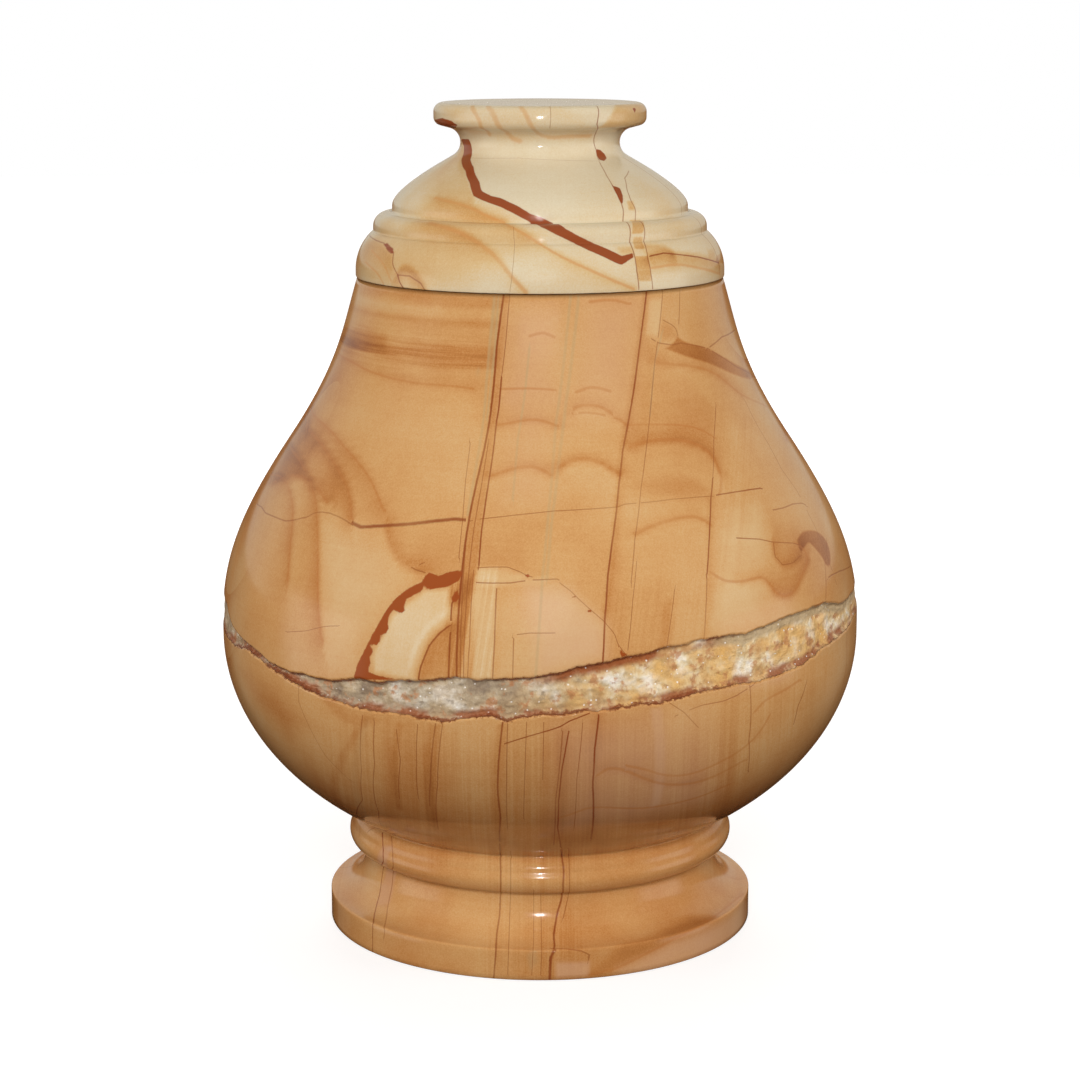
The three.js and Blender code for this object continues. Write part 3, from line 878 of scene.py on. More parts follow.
lay_areas(body_surface, {"tone": TONE_WASHES, "striped": STRIPED_WASHES, "combed": COMBED_WASHES,
                         "pink": PINK_WASHES, "grey": GREY_WASHES}, {"rust": RUST_PATCHES})
for softness, pixels in STAINS_WITH_EDGES.values():
    body_surface.patch("stain", softness, rounded(cast(pixels)))
print("areas laid:", sorted(body_surface.marks))

# %% [markdown]
# The camera sees only the front. Round the back the same stone goes on, so upright
# fractures and soft arches are made there by chance, from a fixed seed, and plainer.

# %% Fractures behind
# Degrees round from the front, and between one and the next. The foot has hidden fractures
# only where its outline can't show them.
chance = np.random.default_rng(11)
BEHIND_FROM, BEHIND_TO = 70, 290
BETWEEN_FRACTURES, BETWEEN_ARCHES = 17.0, 19.0
FOOT_HIDDEN = (95, 262)


def wandering(start_degrees, from_height, to_height, lean_degrees, wander):
    """A path up the stone that leans steadily and wanders by chance."""
    heights = np.linspace(from_height, to_height, 9)
    drift = np.cumsum(chance.normal(0, wander, 9))
    degrees = start_degrees + lean_degrees * np.linspace(0, 1, 9) + drift
    return np.c_[np.radians(degrees), heights]


for degrees in np.arange(BEHIND_FROM, BEHIND_TO, BETWEEN_FRACTURES):
    start = degrees + chance.uniform(-5, 5)
    top_end = chance.uniform(150, 221)
    mark = "iron" if chance.random() < 0.3 else "hair"
    body_surface.line(mark, chance.uniform(0.15, 0.28), wandering(start, 126, top_end, -3, 0.7))
    body_surface.line("hair", chance.uniform(0.15, 0.22), wandering(start + 2, 48, 114, 2, 0.7))
    on_foot = wandering(start + 5, 1, 38, 1.5, 0.3)
    if FOOT_HIDDEN[0] < start < FOOT_HIDDEN[1]:
        body_surface.line("hair", chance.uniform(0.15, 0.25), on_foot)
for degrees in np.arange(BEHIND_FROM + 8, BEHIND_TO, BETWEEN_ARCHES):
    height = chance.uniform(135, 205)
    across = np.linspace(0, chance.uniform(12, 26), 7)
    arch = height + chance.uniform(2, 7) * np.sin(np.linspace(0.2, 2.9, 7))
    path = np.c_[np.radians(degrees + across), arch]
    body_surface.line("soft", chance.uniform(0.4, 0.7), path)
    body_surface.band("tone", chance.uniform(0.1, 0.24), chance.uniform(2.5, 5), path)
print("hidden stone, degrees:", BEHIND_FROM, "to", BEHIND_TO)


def facing_away(surface, from_degrees, to_degrees):
    """0 where the photograph shows the stone, rising to 1 behind."""
    turned = np.degrees(np.abs(surface.azimuth))
    share = np.clip((turned - from_degrees) / (to_degrees - from_degrees), 0, 1)
    return smooth(share)


# %% [markdown]
# Three things change over the whole block. It is darker and redder towards its foot, partly
# its own colour and partly painted shade, as less light reaches it there. It is more striped
# behind, and there the iron also drew fine rings, which the front has as lines.

# %% Changes over the whole body
# Tone at each height in mm, darker and redder low down: partly the stone's own colour and
# partly painted shade where less light reaches; and the strength of the rings
REDDER_WITH_PAINTED_SHADE = {0: 0.12, 22: 0.03, 34: 0.06, 48: 0.12, 62: 0.05, 80: 0.0}
RINGS = {30: 0.2, 60: 0.8}
STRIPED_IN_FRONT, STRIPED_BEHIND = 0.05, 0.25

behind = facing_away(body_surface, 58, 80)
# Painted shade, together with the stone's own redder colour: tone rises towards the foot
body_surface.values("tone", 0.0)[:] += np.interp(
    body_surface.height, list(REDDER_WITH_PAINTED_SHADE), list(REDDER_WITH_PAINTED_SHADE.values()))
body_surface.marks["rings"] = behind * np.interp(
    body_surface.height, list(RINGS), list(RINGS.values()))
body_surface.values("striped", 0.0)[:] += STRIPED_IN_FRONT + STRIPED_BEHIND * behind
# The beds stand upright on the bowl and lean over on the shoulder.
LEAN_FROM, UPPER_LEAN = 108, 0.15
x_side = body_surface.radius * np.sin(body_surface.azimuth)
body_surface.marks["bed"] = x_side - UPPER_LEAN * np.maximum(body_surface.height - LEAN_FROM, 0)
print("marks on the body:", sorted(body_surface.marks))

# %% [markdown]
# The floor of the vein lies about two millimetres below the polished surface. Crystals
# stand up from it at all angles, so the vertices there are pushed in by a cellular
# pattern, and the two lips stay sharp.

# %% The vein's relief
# In mm: how deep it is, and how far apart its crystals, its grit and its swellings are
VEIN_DEPTH = 1.9
CRYSTAL, GRIT, SWELLING = 3.4, 1.7, 9
LIP_OUTSIDE, LIP_WIDTH = 0.25, 1.1
# Shares of the depth: the floor, and how much each unevenness adds or takes
FLOOR_SHARE, CRYSTAL_SHARE, GRIT_SHARE, SWELLING_SHARE = 0.95, 0.35, 0.25, 0.45
SHALLOWER_BEHIND = 0.75

outer_heights = body_height[:outer_count]
inside_vein = np.minimum(outer_heights - vein_low, vein_high - outer_heights)
body_surface.marks["vein"] = inside_vein.ravel()
body_surface.marks["vein_drop"] = (vein_high - outer_heights).ravel()
body_surface.marks["vein_rise"] = (outer_heights - vein_low).ravel()
away = facing_away(body_surface, 60, 80).reshape(outer_heights.shape)
depths = VEIN_DEPTH * (1 - SHALLOWER_BEHIND * away)
pushed = np.zeros(outer_heights.shape)
for row, column in np.argwhere(inside_vein > -0.6):
    angle = azimuth[column]
    place = Vector((BELLY_RADIUS * math.sin(angle), -BELLY_RADIUS * math.cos(angle),
                    outer_heights[row, column]))
    cells = noise.voronoi(place / CRYSTAL)[0]
    facet = min(cells[1] - cells[0], 1)
    rough = noise.fractal(place / GRIT, 0.8, 2.1, 3)
    swell = noise.noise(place / SWELLING)
    share = min(max((inside_vein[row, column] + LIP_OUTSIDE) / LIP_WIDTH, 0), 1)
    pushed[row, column] = depths[row, column] * share * (
        FLOOR_SHARE - CRYSTAL_SHARE * facet + GRIT_SHARE * rough + SWELLING_SHARE * swell)
body_radius[:outer_count] -= pushed
print("deepest place in the vein, mm:", pushed.max().round(2))

# %% [markdown]
# One function makes both meshes: rings of four-sided faces, closed at each end with a fan.
# Another writes the markings on them as named values, which the materials read.

# %% Make a mesh from rings and columns
def turned_mesh(name, radius, height, caps):
    """A closed mesh of rings. caps are the heights where its first and last ring close."""
    rings, columns = radius.shape
    x = radius * np.sin(azimuth)
    y = -radius * np.cos(azimuth)
    vertices = np.c_[x.ravel(), y.ravel(), height.ravel()]
    vertices = np.vstack([vertices, [(0, 0, caps[0]), (0, 0, caps[1])]]) * MM
    here = np.arange(rings * columns).reshape(rings, columns)
    ahead = np.roll(here, -1, axis=1)
    quads = np.stack([here[:-1], ahead[:-1], ahead[1:], here[1:]], axis=-1).reshape(-1, 4)
    first = [(rings * columns, b, a) for a, b in zip(here[0], ahead[0])]
    last = [(rings * columns + 1, a, b) for a, b in zip(here[-1], ahead[-1])]
    mesh = bpy.data.meshes.new(name)
    mesh.from_pydata(vertices.tolist(), [], quads.tolist() + first + last)
    mesh.polygons.foreach_set("use_smooth", np.ones(len(mesh.polygons), dtype=bool))
    mesh.update()
    made = bpy.data.objects.new(name, mesh)
    bpy.context.scene.collection.objects.link(made)
    return made


UNMARKED = {"rust": NOT_INSIDE, "stain": NOT_INSIDE, "vein": NOT_INSIDE, "vein_drop": FAR,
            "vein_rise": FAR, "tone": 0, "pink": 0, "grey": 0, "striped": 0.1, "combed": 0,
            "rings": 0}
LINE_MARKS = ("iron", "hair", "ash", "soft")


def store_marks(piece, surface, first_ring):
    """Writes areas on vertices and lines on the corners of faces. Hidden ones stay unmarked."""
    count = len(piece.data.vertices)
    start = first_ring * COLUMNS
    places = np.empty(count * 3)
    piece.data.vertices.foreach_get("co", places)
    for mark in [*UNMARKED, "bed"]:
        values = places[::3] / MM if mark == "bed" else np.full(count, UNMARKED[mark], float)
        if mark in surface.marks:
            values[start:start + len(surface.radius)] = surface.marks[mark]
        attribute = piece.data.attributes.new(mark, "FLOAT", "POINT")
        attribute.data.foreach_set("value", values.astype(np.float32))
    for mark in LINE_MARKS:
        values = np.full(len(piece.data.loops), FAR)
        if mark in surface.lines:
            corners = surface.lines[mark].ravel()
            values[start * 4:start * 4 + len(corners)] = corners
        attribute = piece.data.attributes.new(mark, "FLOAT", "CORNER")
        attribute.data.foreach_set("value", values.astype(np.float32))


HOLLOW_DIP = 0.6
body = turned_mesh("urn_body_stone", body_radius, body_height, (0, inner_line[-1][1] - HOLLOW_DIP))
store_marks(body, body_surface, 0)
print(body.name, "triangles:", sum(len(p.vertices) - 2 for p in body.data.polygons))

# %% [markdown]
# ## The lid's markings
# The lid came from a paler block. One thick red vein runs over its dome from the neck,
# and an upright crack crosses it on the right. Left of the vein the stone is tan, and
# right of it cream.

# %% The lid's markings
LID_IRON = {
    "crack_upper": (0.2, [(597, 106), (597, 124), (596, 133), (594, 142), (597, 151)]),
    "level_right": (0.26, [(650, 256), (664, 253), (683, 255), (698, 257), (719, 263)]),
    "corner_low": (0.3, [(398, 275), (400, 282), (405, 289)]),
}
LID_HAIR = {
    "crack": (0.24, [
        (597, 151), (601, 165), (607, 176), (613, 186), (618, 195), (623, 208), (626, 222),
        (630, 239), (634, 253), (637, 271), (639, 289)]),
    "crack_right": (0.2, [
        (629, 171), (625, 178), (627, 190), (631, 201), (635, 208), (641, 222), (644, 241),
        (648, 258), (651, 274), (653, 289)]),
    "corner": (0.26, [
        (370, 235), (384, 243), (394, 253), (393, 264), (398, 275), (410, 276), (421, 283),
        (426, 290)]),
    "flange_d": (0.13, [(550, 106), (551, 117), (550, 128)]),
    "middle": (0.09, [(514, 227), (515, 247), (514, 261), (512, 280), (510, 292)]),
    "level_a": (0.06, [(472, 158), (520, 158), (600, 161)]),
}
LID_SOFT = {
    "slant_a": (0.5, [
        (436, 198), (470, 206), (493, 219), (509, 225), (525, 234), (540, 244), (564, 258),
        (588, 269), (612, 280), (634, 289)]),
    "slant_b": (0.7, [
        (430, 223), (446, 227), (462, 233), (477, 242), (493, 253), (503, 265), (512, 277),
        (526, 292)]),
    "flange_a": (0.8, [(473, 106), (476, 113), (482, 124), (490, 135)]),
    "flange_b": (1.0, [(489, 106), (494, 113), (499, 126), (511, 138), (520, 141)]),
    "flange_c": (0.8, [(521, 106), (526, 113), (532, 127), (539, 135), (553, 138), (569, 136), (590, 136)]),
    "right_low": (0.5, [(651, 268), (675, 264), (691, 266), (720, 274)]),
    "left_a": (0.4, [(372, 250), (385, 262), (392, 282)]),
    "left_b": (0.4, [(366, 262), (378, 272), (384, 284)]),
}
LID_BANDS_BESIDE = {
    "slant_a": (0.2, -3, WHOLE), "slant_b": (0.22, -4, WHOLE), "level_right": (0.3, -3, WHOLE),
}
LID_BANDS = {
    "right_arch": (0.3, -2.5, [(646, 247), (664, 248), (669, 250), (673, 255)]),
    "corner_arch": (0.3, -4, [(398, 275), (405, 267), (414, 272), (424, 288)]),
    "beside_vein": (0.2, -3, [(463, 146), (468, 176), (472, 198)]),
}
LID_WASHES = {
    "left_of_vein": (0.25, 6, [
        (462, 150), (470, 196), (500, 208), (545, 232), (530, 250), (500, 262), (470, 285),
        (420, 290), (380, 270), (350, 262), (385, 220), (430, 175)]),
    "left_corner": (0.16, 1.2, [
        (370, 237), (384, 244), (393, 254), (392, 264), (398, 276), (404, 290), (358, 284),
        (357, 262)]),
    "cream_edge": (-0.12, 5, [(390, 215), (420, 180), (440, 170), (430, 200), (400, 230)]),
    "left_of_blocks": (0.25, 1.6, [(615, 247), (632, 247), (634, 254), (622, 255)]),
    "flange_right": (0.3, 1.0, [(598, 104), (645, 104), (645, 124), (598, 128)]),
    "flange_all": (0.1, 2, [(440, 106), (560, 106), (590, 128), (480, 128)]),
    "neck": (0.14, 2, [(480, 132), (595, 132), (595, 140), (500, 140)]),
    "right_side": (0.12, 8, [(640, 180), (690, 215), (715, 250), (660, 245)]),
    "right_spot": (0.25, 1.2, [(708, 251), (715, 251), (715, 257), (709, 257)]),
    "band_right": (0.14, 2, [(650, 257), (698, 258), (720, 264), (720, 273), (691, 266), (651, 267)]),
}
LID_BLOCKS = {
    "block_one": (0.9, [(627, 201), (633, 201), (635, 210), (629, 210)]),
    "block_two": (0.4, [(630, 220), (641, 220), (643, 233), (632, 234)]),
    "block_three": (0.6, [(634, 237), (643, 237), (645, 249), (635, 249)]),
    "block_four": (0.4, [(635, 256), (648, 256), (650, 267), (637, 268)]),
    "block_five": (0.6, [(637, 270), (650, 269), (652, 281), (639, 281)]),
    "right_end": (0.6, [(716, 256), (722, 251), (724, 264), (716, 262)]),
}
LID_RUST = {
    "red_vein": (0.25, [
        (461, 139), (464, 146), (462, 159), (466, 171), (470, 183), (474, 196), (482, 200),
        (501, 207), (515, 214), (530, 222), (541, 227), (555, 234), (574, 243), (588, 250),
        (604, 257), (616, 263), (622, 265), (628, 261), (634, 257), (633, 253), (622, 256),
        (612, 251), (596, 244), (577, 235), (566, 229), (553, 223), (541, 217), (531, 214),
        (518, 206), (501, 198), (492, 196), (482, 191), (480, 182), (474, 167), (471, 159),
        (472, 147), (469, 139)]),
    "disc": (0.25, [(596, 149), (601, 150), (605, 154), (607, 158), (604, 161), (600, 160)]),
    "lens": (0.25, [(612, 185), (620, 188), (623, 196), (623, 204), (620, 202), (615, 191)]),
    "left_lens": (0.4, [(383, 242), (388, 243), (394, 249), (394, 255), (389, 252)]),
    "flange_patch": (0.3, [
        (435, 120), (443, 118), (452, 121), (458, 125), (458, 130), (451, 127), (439, 125)]),
    "flange_dot": (0.25, [(632, 108), (636, 108), (635, 113)]),
}
print("markings on the lid:", sum(len(table) for table in (
    LID_IRON, LID_HAIR, LID_SOFT, LID_BANDS_BESIDE, LID_BANDS, LID_WASHES, LID_BLOCKS, LID_RUST)))

# %% The lid's mesh
LID_RINGS, LID_STRIPED = 0.8, 0.08
BETWEEN_LID_FRACTURES = 30.0

lid_line = joined(lid_under, lid_outer)
lid_radius = np.repeat(lid_line[:, 0][:, None], COLUMNS, axis=1)
lid_height = np.repeat(lid_line[:, 1][:, None], COLUMNS, axis=1)
under_count = len(lid_under)
lid_surface = Surface(lid_radius[under_count:], lid_height[under_count:], lid_outer)
lay_lines(lid_surface, {"iron": LID_IRON, "hair": LID_HAIR, "soft": LID_SOFT})
lay_bands(lid_surface, LID_BANDS_BESIDE, {**LID_SOFT, **LID_IRON}, LID_BANDS)
lay_areas(lid_surface, {"tone": LID_WASHES}, {"rust": LID_RUST, "stain": LID_BLOCKS})
for degrees in np.arange(75, 285, BETWEEN_LID_FRACTURES):
    start = degrees + chance.uniform(-6, 6)
    lid_surface.line("hair", chance.uniform(0.16, 0.26), wandering(start, 225, 262, -2, 0.8))
lid_surface.marks["rings"] = LID_RINGS * facing_away(lid_surface, 55, 85)
lid_surface.marks["striped"] = np.full(lid_surface.radius.shape, LID_STRIPED)
lid_surface.marks["bed"] = lid_surface.radius * np.sin(lid_surface.azimuth)

lid = turned_mesh("urn_lid_stone", lid_radius, lid_height, (LID_SEAT + HOLLOW_RISE, lid_top))
store_marks(lid, lid_surface, under_count)
print(lid.name, "triangles:", sum(len(p.vertices) - 2 for p in lid.data.polygons))

# %% [markdown]
# ## Polished sandstone
# This sandstone is fine quartz sand, held so tightly by silica and iron that it can be
# turned and then polished with fine grit. The polish gives a glassy, sharp reflection
# over colour that is soft and cloudy. Quartz bends light with an index of 1.54.
#
# A material is a tree of nodes. One function adds a node, and the others below say what
# several nodes do together.

# %% Colours and nodes
# Sockets of a colour mix, and the name of Blender's smooth step
A, B, MIXED = 6, 7, 2
SMOOTH = "SMOOTHSTEP"


def linear(hex_colour):
    """An sRGB hex colour as linear red, green, blue and alpha."""
    parts = [int(hex_colour[i:i + 2], 16) / 255 for i in (1, 3, 5)]
    return [p / 12.92 if p <= 0.04045 else ((p + 0.055) / 1.055) ** 2.4 for p in parts] + [1]


def add(tree, kind, inputs=(), stops=None, **settings):
    """Adds one node. Inputs, in order or by name, are values, nodes or outputs of nodes.
    Stops are the places and colours of a ramp."""
    made = tree.nodes.new(kind)
    for name, value in settings.items():
        setattr(made, name, value)
    for name, value in inputs.items() if isinstance(inputs, dict) else enumerate(inputs):
        if isinstance(value, bpy.types.Node):
            value = value.outputs[0]
        if isinstance(value, bpy.types.NodeSocket):
            tree.links.new(value, made.inputs[name])
        else:
            made.inputs[name].default_value = value
    if stops:
        ramp = made.color_ramp
        while len(ramp.elements) < len(stops):
            ramp.elements.new(1)
        for element, (place, hex_colour) in zip(ramp.elements, stops):
            element.position = place
            element.color = linear(hex_colour)
    return made


def weighted_sum(tree, start, *terms):
    """start plus each term, which is a value, its middle and its weight."""
    for value, middle, weight in terms:
        start = add(tree, "ShaderNodeMath", [value, weight, start], operation="MULTIPLY_ADD")
        if middle:
            start = add(tree, "ShaderNodeMath", [start, middle * weight], operation="SUBTRACT")
    return start


def all_of(tree, first, *others):
    """A share that is high only where every one of these is."""
    for other in others:
        first = add(tree, "ShaderNodeMath", [first, other], operation="MULTIPLY")
    return first


def covered(tree, colour, cover, *shares):
    """The colour, covered by another as far as all the shares let it."""
    inputs = {"Factor": all_of(tree, *shares), A: colour, B: cover}
    return add(tree, "ShaderNodeMix", inputs, data_type="RGBA").outputs[MIXED]


def noise_of(tree, table, spaces):
    """Every noise of a table: mm between its features, detail, roughness and its space."""
    made = {}
    for name, (spacing, detail, roughness, space) in table.items():
        scale = [1 / mm for mm in np.broadcast_to(spacing, 3)]
        scaled = add(tree, "ShaderNodeMapping", {0: spaces[space], "Scale": scale})
        inputs = {"Vector": scaled, "Scale": 1.0, "Detail": detail, "Roughness": roughness}
        made[name] = add(tree, "ShaderNodeTexNoise", inputs).outputs["Fac"]
    return made


print("pale stone, linear:", [round(part, 3) for part in linear("#DCC7A2")])

# %% [markdown]
# The beds stand upright in this block. So fine streaks less than a millimetre wide run up
# the urn where it is striped, between broader ones of some seven millimetres. Clouds are a
# few centimetres across, and the level layers that comb the shoulder are 1.4 mm apart. The
# sand itself is finer than the picture shows, so its grain is drawn at half a millimetre.

# %% Tone of the stone
STONE_NOISE = {
    "streaks": ((0.8, 60, 190), 4.0, 0.7, "beds"),
    "broad": ((7, 80, 220), 2.0, 0.5, "beds"),
    "layers": ((45, 45, 1.4), 3.0, 0.6, "stone"),
    "clouds": (34, 4.0, 0.55, "stone"),
    "drift": (90, 2.0, 0.55, "stone"),
    "grain": (0.5, 2.0, 0.7, "stone"),
    "ragged": (1.5, 4.0, 0.7, "stone"),
    "contours": (110, 1.0, 0.4, "stone"),
}
RING_COUNT, RING_SHARPNESS, RINGS_WHERE = 11.0, 3.0, (0.44, 0.6)
COMBED_EVERYWHERE = 0.1
PATCH_EDGE = 0.7
# How far each noise moves the tone, to either side of its middle
NOISE_MIDDLE = 0.5
CLOUDINESS = {"clouds": 0.42, "drift": 0.2, "grain": 0.3, "ragged": 0.1}
STRIPINESS = {"streaks": 0.6, "broad": 0.5}
STAIN_TONE, RING_TONE, LAYER_TONE, COMBED_TONE = 0.28, 0.25, 0.7, -0.35


def stone_tone(tree, plain_tone, marks, noises):
    """0 for cream and 1 for deep rust, at each place of the stone."""
    contours = all_of(tree, noises["contours"], RING_COUNT)
    saw = add(tree, "ShaderNodeMath", [contours], operation="FRACT")
    saw = add(tree, "ShaderNodeMath", [saw, RING_SHARPNESS], operation="POWER")
    here = add(tree, "ShaderNodeMapRange", [noises["drift"], *RINGS_WHERE], interpolation_type=SMOOTH)
    rings = all_of(tree, saw, here, marks["rings"])
    stain = add(tree, "ShaderNodeMapRange", [marks["stain"], -PATCH_EDGE, PATCH_EDGE],
                interpolation_type=SMOOTH)
    combed = weighted_sum(tree, COMBED_EVERYWHERE, (marks["combed"], 0, 1 - COMBED_EVERYWHERE))
    cloudy = [(noises[name], NOISE_MIDDLE, weight) for name, weight in CLOUDINESS.items()]
    striped = [(noises[name], NOISE_MIDDLE, weight) for name, weight in STRIPINESS.items()]
    stripes = all_of(tree, weighted_sum(tree, 0.0, *striped), marks["striped"])
    layers = all_of(tree, combed, noises["layers"])
    return weighted_sum(
        tree, plain_tone, (marks["tone"], 0, 1.0), (stain, 0, STAIN_TONE), *cloudy,
        (rings, 0, RING_TONE), (layers, 0, LAYER_TONE), (combed, 0, COMBED_TONE), (stripes, 0, 1.0))


print("noises in the stone:", len(STONE_NOISE))

# %% [markdown]
# Each tone has its colour. Pink and grey stone lie over it in clouds, and then the
# fractures, each in the colour of what filled it. A fracture's edge wavers a little, and
# it is fainter here and there. Where iron filled one, the polish is a trifle duller.

# %% Colour, gloss and relief of the stone
TINTS = {"pink": "#D4AC8A", "grey": "#A8926A"}
STONE_MARKS = ("bed", "tone", "striped", "combed", "rings", "stain", "rust", *TINTS, *LINE_MARKS)
# Both follow the clouds: from and to, and how far a tint or a filling shows there
TINTS_SHOW, FILLINGS_SHOW = (0.3, 0.6, 0.4, 0.8), (0.35, 0.6, 0.6, 1.0)
# In half widths from a line's middle: where it starts to fade, and where it is gone
LINE_FADES, LINE_GONE = 0.3, 1.5
GLOSS, STAINED_GLOSS, STREAKED_GLOSS = 0.12, 0.12, 0.06
STAINED_RELIEF = -0.03
QUARTZ_IOR = 1.54


def sandstone(name, plain_tone, tones, stains):
    """Polished sandstone. tones run from cream to rust, and plain_tone is where the block lies."""
    material = bpy.data.materials.new(name)
    material.use_nodes = True
    tree = material.node_tree
    marks = {mark: add(tree, "ShaderNodeAttribute", attribute_name=mark).outputs["Fac"]
             for mark in STONE_MARKS}
    in_metres = add(tree, "ShaderNodeTexCoord").outputs["Object"]
    in_mm = add(tree, "ShaderNodeVectorMath", {0: in_metres, "Scale": 1 / MM}, operation="SCALE")
    split = add(tree, "ShaderNodeSeparateXYZ", [in_mm])
    beds = add(tree, "ShaderNodeCombineXYZ", [marks["bed"], split.outputs[1], split.outputs[2]])
    spaces = {"stone": in_mm, "beds": beds}
    noises = noise_of(tree, STONE_NOISE, spaces)
    tone = stone_tone(tree, plain_tone, marks, noises)
    colour = add(tree, "ShaderNodeValToRGB", [tone], stops=tones)

    clouded = add(tree, "ShaderNodeMapRange", [noises["clouds"], *TINTS_SHOW])
    for tint, hex_colour in TINTS.items():
        colour = covered(tree, colour, linear(hex_colour), marks[tint], clouded)

    faint = add(tree, "ShaderNodeMapRange", [noises["clouds"], *FILLINGS_SHOW])
    stained = 0.0
    for mark, (hex_colour, cover, waver) in stains.items():
        off = weighted_sum(tree, marks[mark], (noises["ragged"], NOISE_MIDDLE, waver))
        if mark == "rust":
            inputs = [off, -PATCH_EDGE, PATCH_EDGE, 0.0, cover]
            shares = [add(tree, "ShaderNodeMapRange", inputs, interpolation_type=SMOOTH)]
        else:
            off = add(tree, "ShaderNodeMath", [off], operation="ABSOLUTE")
            inputs = [off, LINE_FADES, LINE_GONE, cover, 0.0]
            shares = [add(tree, "ShaderNodeMapRange", inputs, interpolation_type=SMOOTH), faint]
        colour = covered(tree, colour, linear(hex_colour), *shares)
        stained = weighted_sum(tree, stained, (all_of(tree, *shares), 0, 0.5))

    gloss = weighted_sum(tree, GLOSS, (stained, 0, STAINED_GLOSS),
                         (noises["streaks"], NOISE_MIDDLE, STREAKED_GLOSS))
    relief = weighted_sum(tree, 0.0, (stained, 0, STAINED_RELIEF))
    return SimpleNamespace(material=material, tree=tree, spaces=spaces, colour=colour, gloss=gloss,
                           relief=relief)


def finish(stone):
    """Joins a stone's colour, gloss and relief in mm to its shader."""
    shader = stone.tree.nodes["Principled BSDF"]
    bump = add(stone.tree, "ShaderNodeBump", {"Strength": 1.0, "Distance": MM, "Height": stone.relief})
    for socket, value in (("Base Color", stone.colour), ("Roughness", stone.gloss), ("Normal", bump)):
        output = value.outputs[0] if isinstance(value, bpy.types.Node) else value
        stone.tree.links.new(output, shader.inputs[socket])
    shader.inputs["IOR"].default_value = QUARTZ_IOR


print("marks that the stone reads:", len(STONE_MARKS))

# %% The paler block
# For each kind of mark: its colour, how fully it covers the stone, and how much it wavers
LID_TONES = [(0.0, "#E2D9C2"), (0.2, "#D9CAAA"), (0.4, "#D4B787"), (0.6, "#CA9D62"),
             (0.8, "#B37D48"), (1.0, "#8F5230")]
LID_FILLINGS = {"soft": ("#CC9256", 0.6, 0.8), "hair": ("#93532A", 0.75, 0.9),
                "iron": ("#8A4320", 0.95, 0.9), "rust": ("#90431F", 0.98, 1.2)}
LID_PLAIN_TONE = 0.2

lid_stone = sandstone("polished_sandstone_cream", LID_PLAIN_TONE, LID_TONES, LID_FILLINGS)
finish(lid_stone)
lid.data.materials.append(lid_stone.material)
print("material:", lid_stone.material.name)

# %% The tan block
TONES = [(0.0, "#DCC7A2"), (0.2, "#D6B483"), (0.42, "#CD9C63"), (0.6, "#BC8047"),
         (0.8, "#A0622F"), (1.0, "#83441F")]
FILLINGS = {"ash": ("#B59E72", 0.45, 0.8), "soft": ("#B8733A", 0.5, 0.8),
            "hair": ("#93532A", 0.75, 0.9), "iron": ("#8A4320", 0.95, 0.9),
            "rust": ("#98491F", 0.98, 3.0)}
PLAIN_TONE = 0.42

bowl_stone = sandstone("polished_sandstone_tan", PLAIN_TONE, TONES, FILLINGS)
tree = bowl_stone.tree
print("material:", bowl_stone.material.name)

# %% [markdown]
# ## Broken quartz
# Inside the vein nothing was polished. Small crystals of quartz, a millimetre or so
# across, are milky and cream, stained amber and rust where iron reached them. Each
# face is smooth but turned its own way, so a few glint while the rest look matt. A few
# near-white specks are also painted into the colour as highlights.
#
# The vein is grey on the left and cream on the right, so several of its stains depend on
# how many millimetres to the side they are. Each stain below, and the painted highlight
# specks, has its colour, and shares that are multiplied: what is measured, from where to
# where, and the share at both ends.

# %% The vein's crystals
CRYSTAL_GRAIN = 1.3
GREY_QUARTZ = [(0.34, "#8C7A66"), (0.43, "#A7957C"), (0.5, "#B8A78C"), (0.57, "#CBBFAA"),
               (0.68, "#ECE6DA")]
CREAM_QUARTZ = [(0.34, "#BE925E"), (0.43, "#D6B27E"), (0.5, "#E4CDA0"), (0.57, "#EEE2C8"),
                (0.68, "#FAF6EE")]
QUARTZ_NOISE = {
    "lip": (CRYSTAL_GRAIN, 4.0, 0.7, "stone"),
    "lumps": (8, 4.0, 0.5, "stone"),
    "patches": (13, 3.0, 0.55, "stone"),
    "crumbs": (CRYSTAL_GRAIN, 3.0, 0.6, "stone"),
    "flecks": (5, 4.0, 0.6, "stone"),
}
measured = noise_of(tree, QUARTZ_NOISE, bowl_stone.spaces)
for mark in ("vein", "vein_rise", "vein_drop"):
    measured[mark] = add(tree, "ShaderNodeAttribute", attribute_name=mark).outputs["Fac"]
measured["side"] = add(tree, "ShaderNodeSeparateXYZ", [bowl_stone.spaces["stone"]])
cells = add(tree, "ShaderNodeTexVoronoi", {"Vector": bowl_stone.spaces["stone"], "Scale": 1 / CRYSTAL_GRAIN})
faces = add(tree, "ShaderNodeSeparateColor", [cells.outputs["Color"]])
measured["crystal_middle"] = cells.outputs["Distance"]
measured["crystal_turn"] = faces.outputs[2]
measured["inside"] = weighted_sum(tree, measured["vein"], (measured["lip"], NOISE_MIDDLE, 1.0))
off_lip = weighted_sum(tree, measured["inside"], (measured["lip"], 0.62, 1.6))
measured["off_lip"] = add(tree, "ShaderNodeMath", [off_lip], operation="ABSOLUTE")


def shares_of(*rows):
    """For each row, a share that goes smoothly between two values as a measure changes."""
    made = []
    for measure, start, end, before, after in rows:
        inputs = [measured[measure], start, end, before, after]
        made.append(add(tree, "ShaderNodeMapRange", inputs, interpolation_type=SMOOTH))
    return made


measured["warm"] = shares_of(("side", -15, 40, 0, 1))[0]
print("measures in the vein:", sorted(measured))

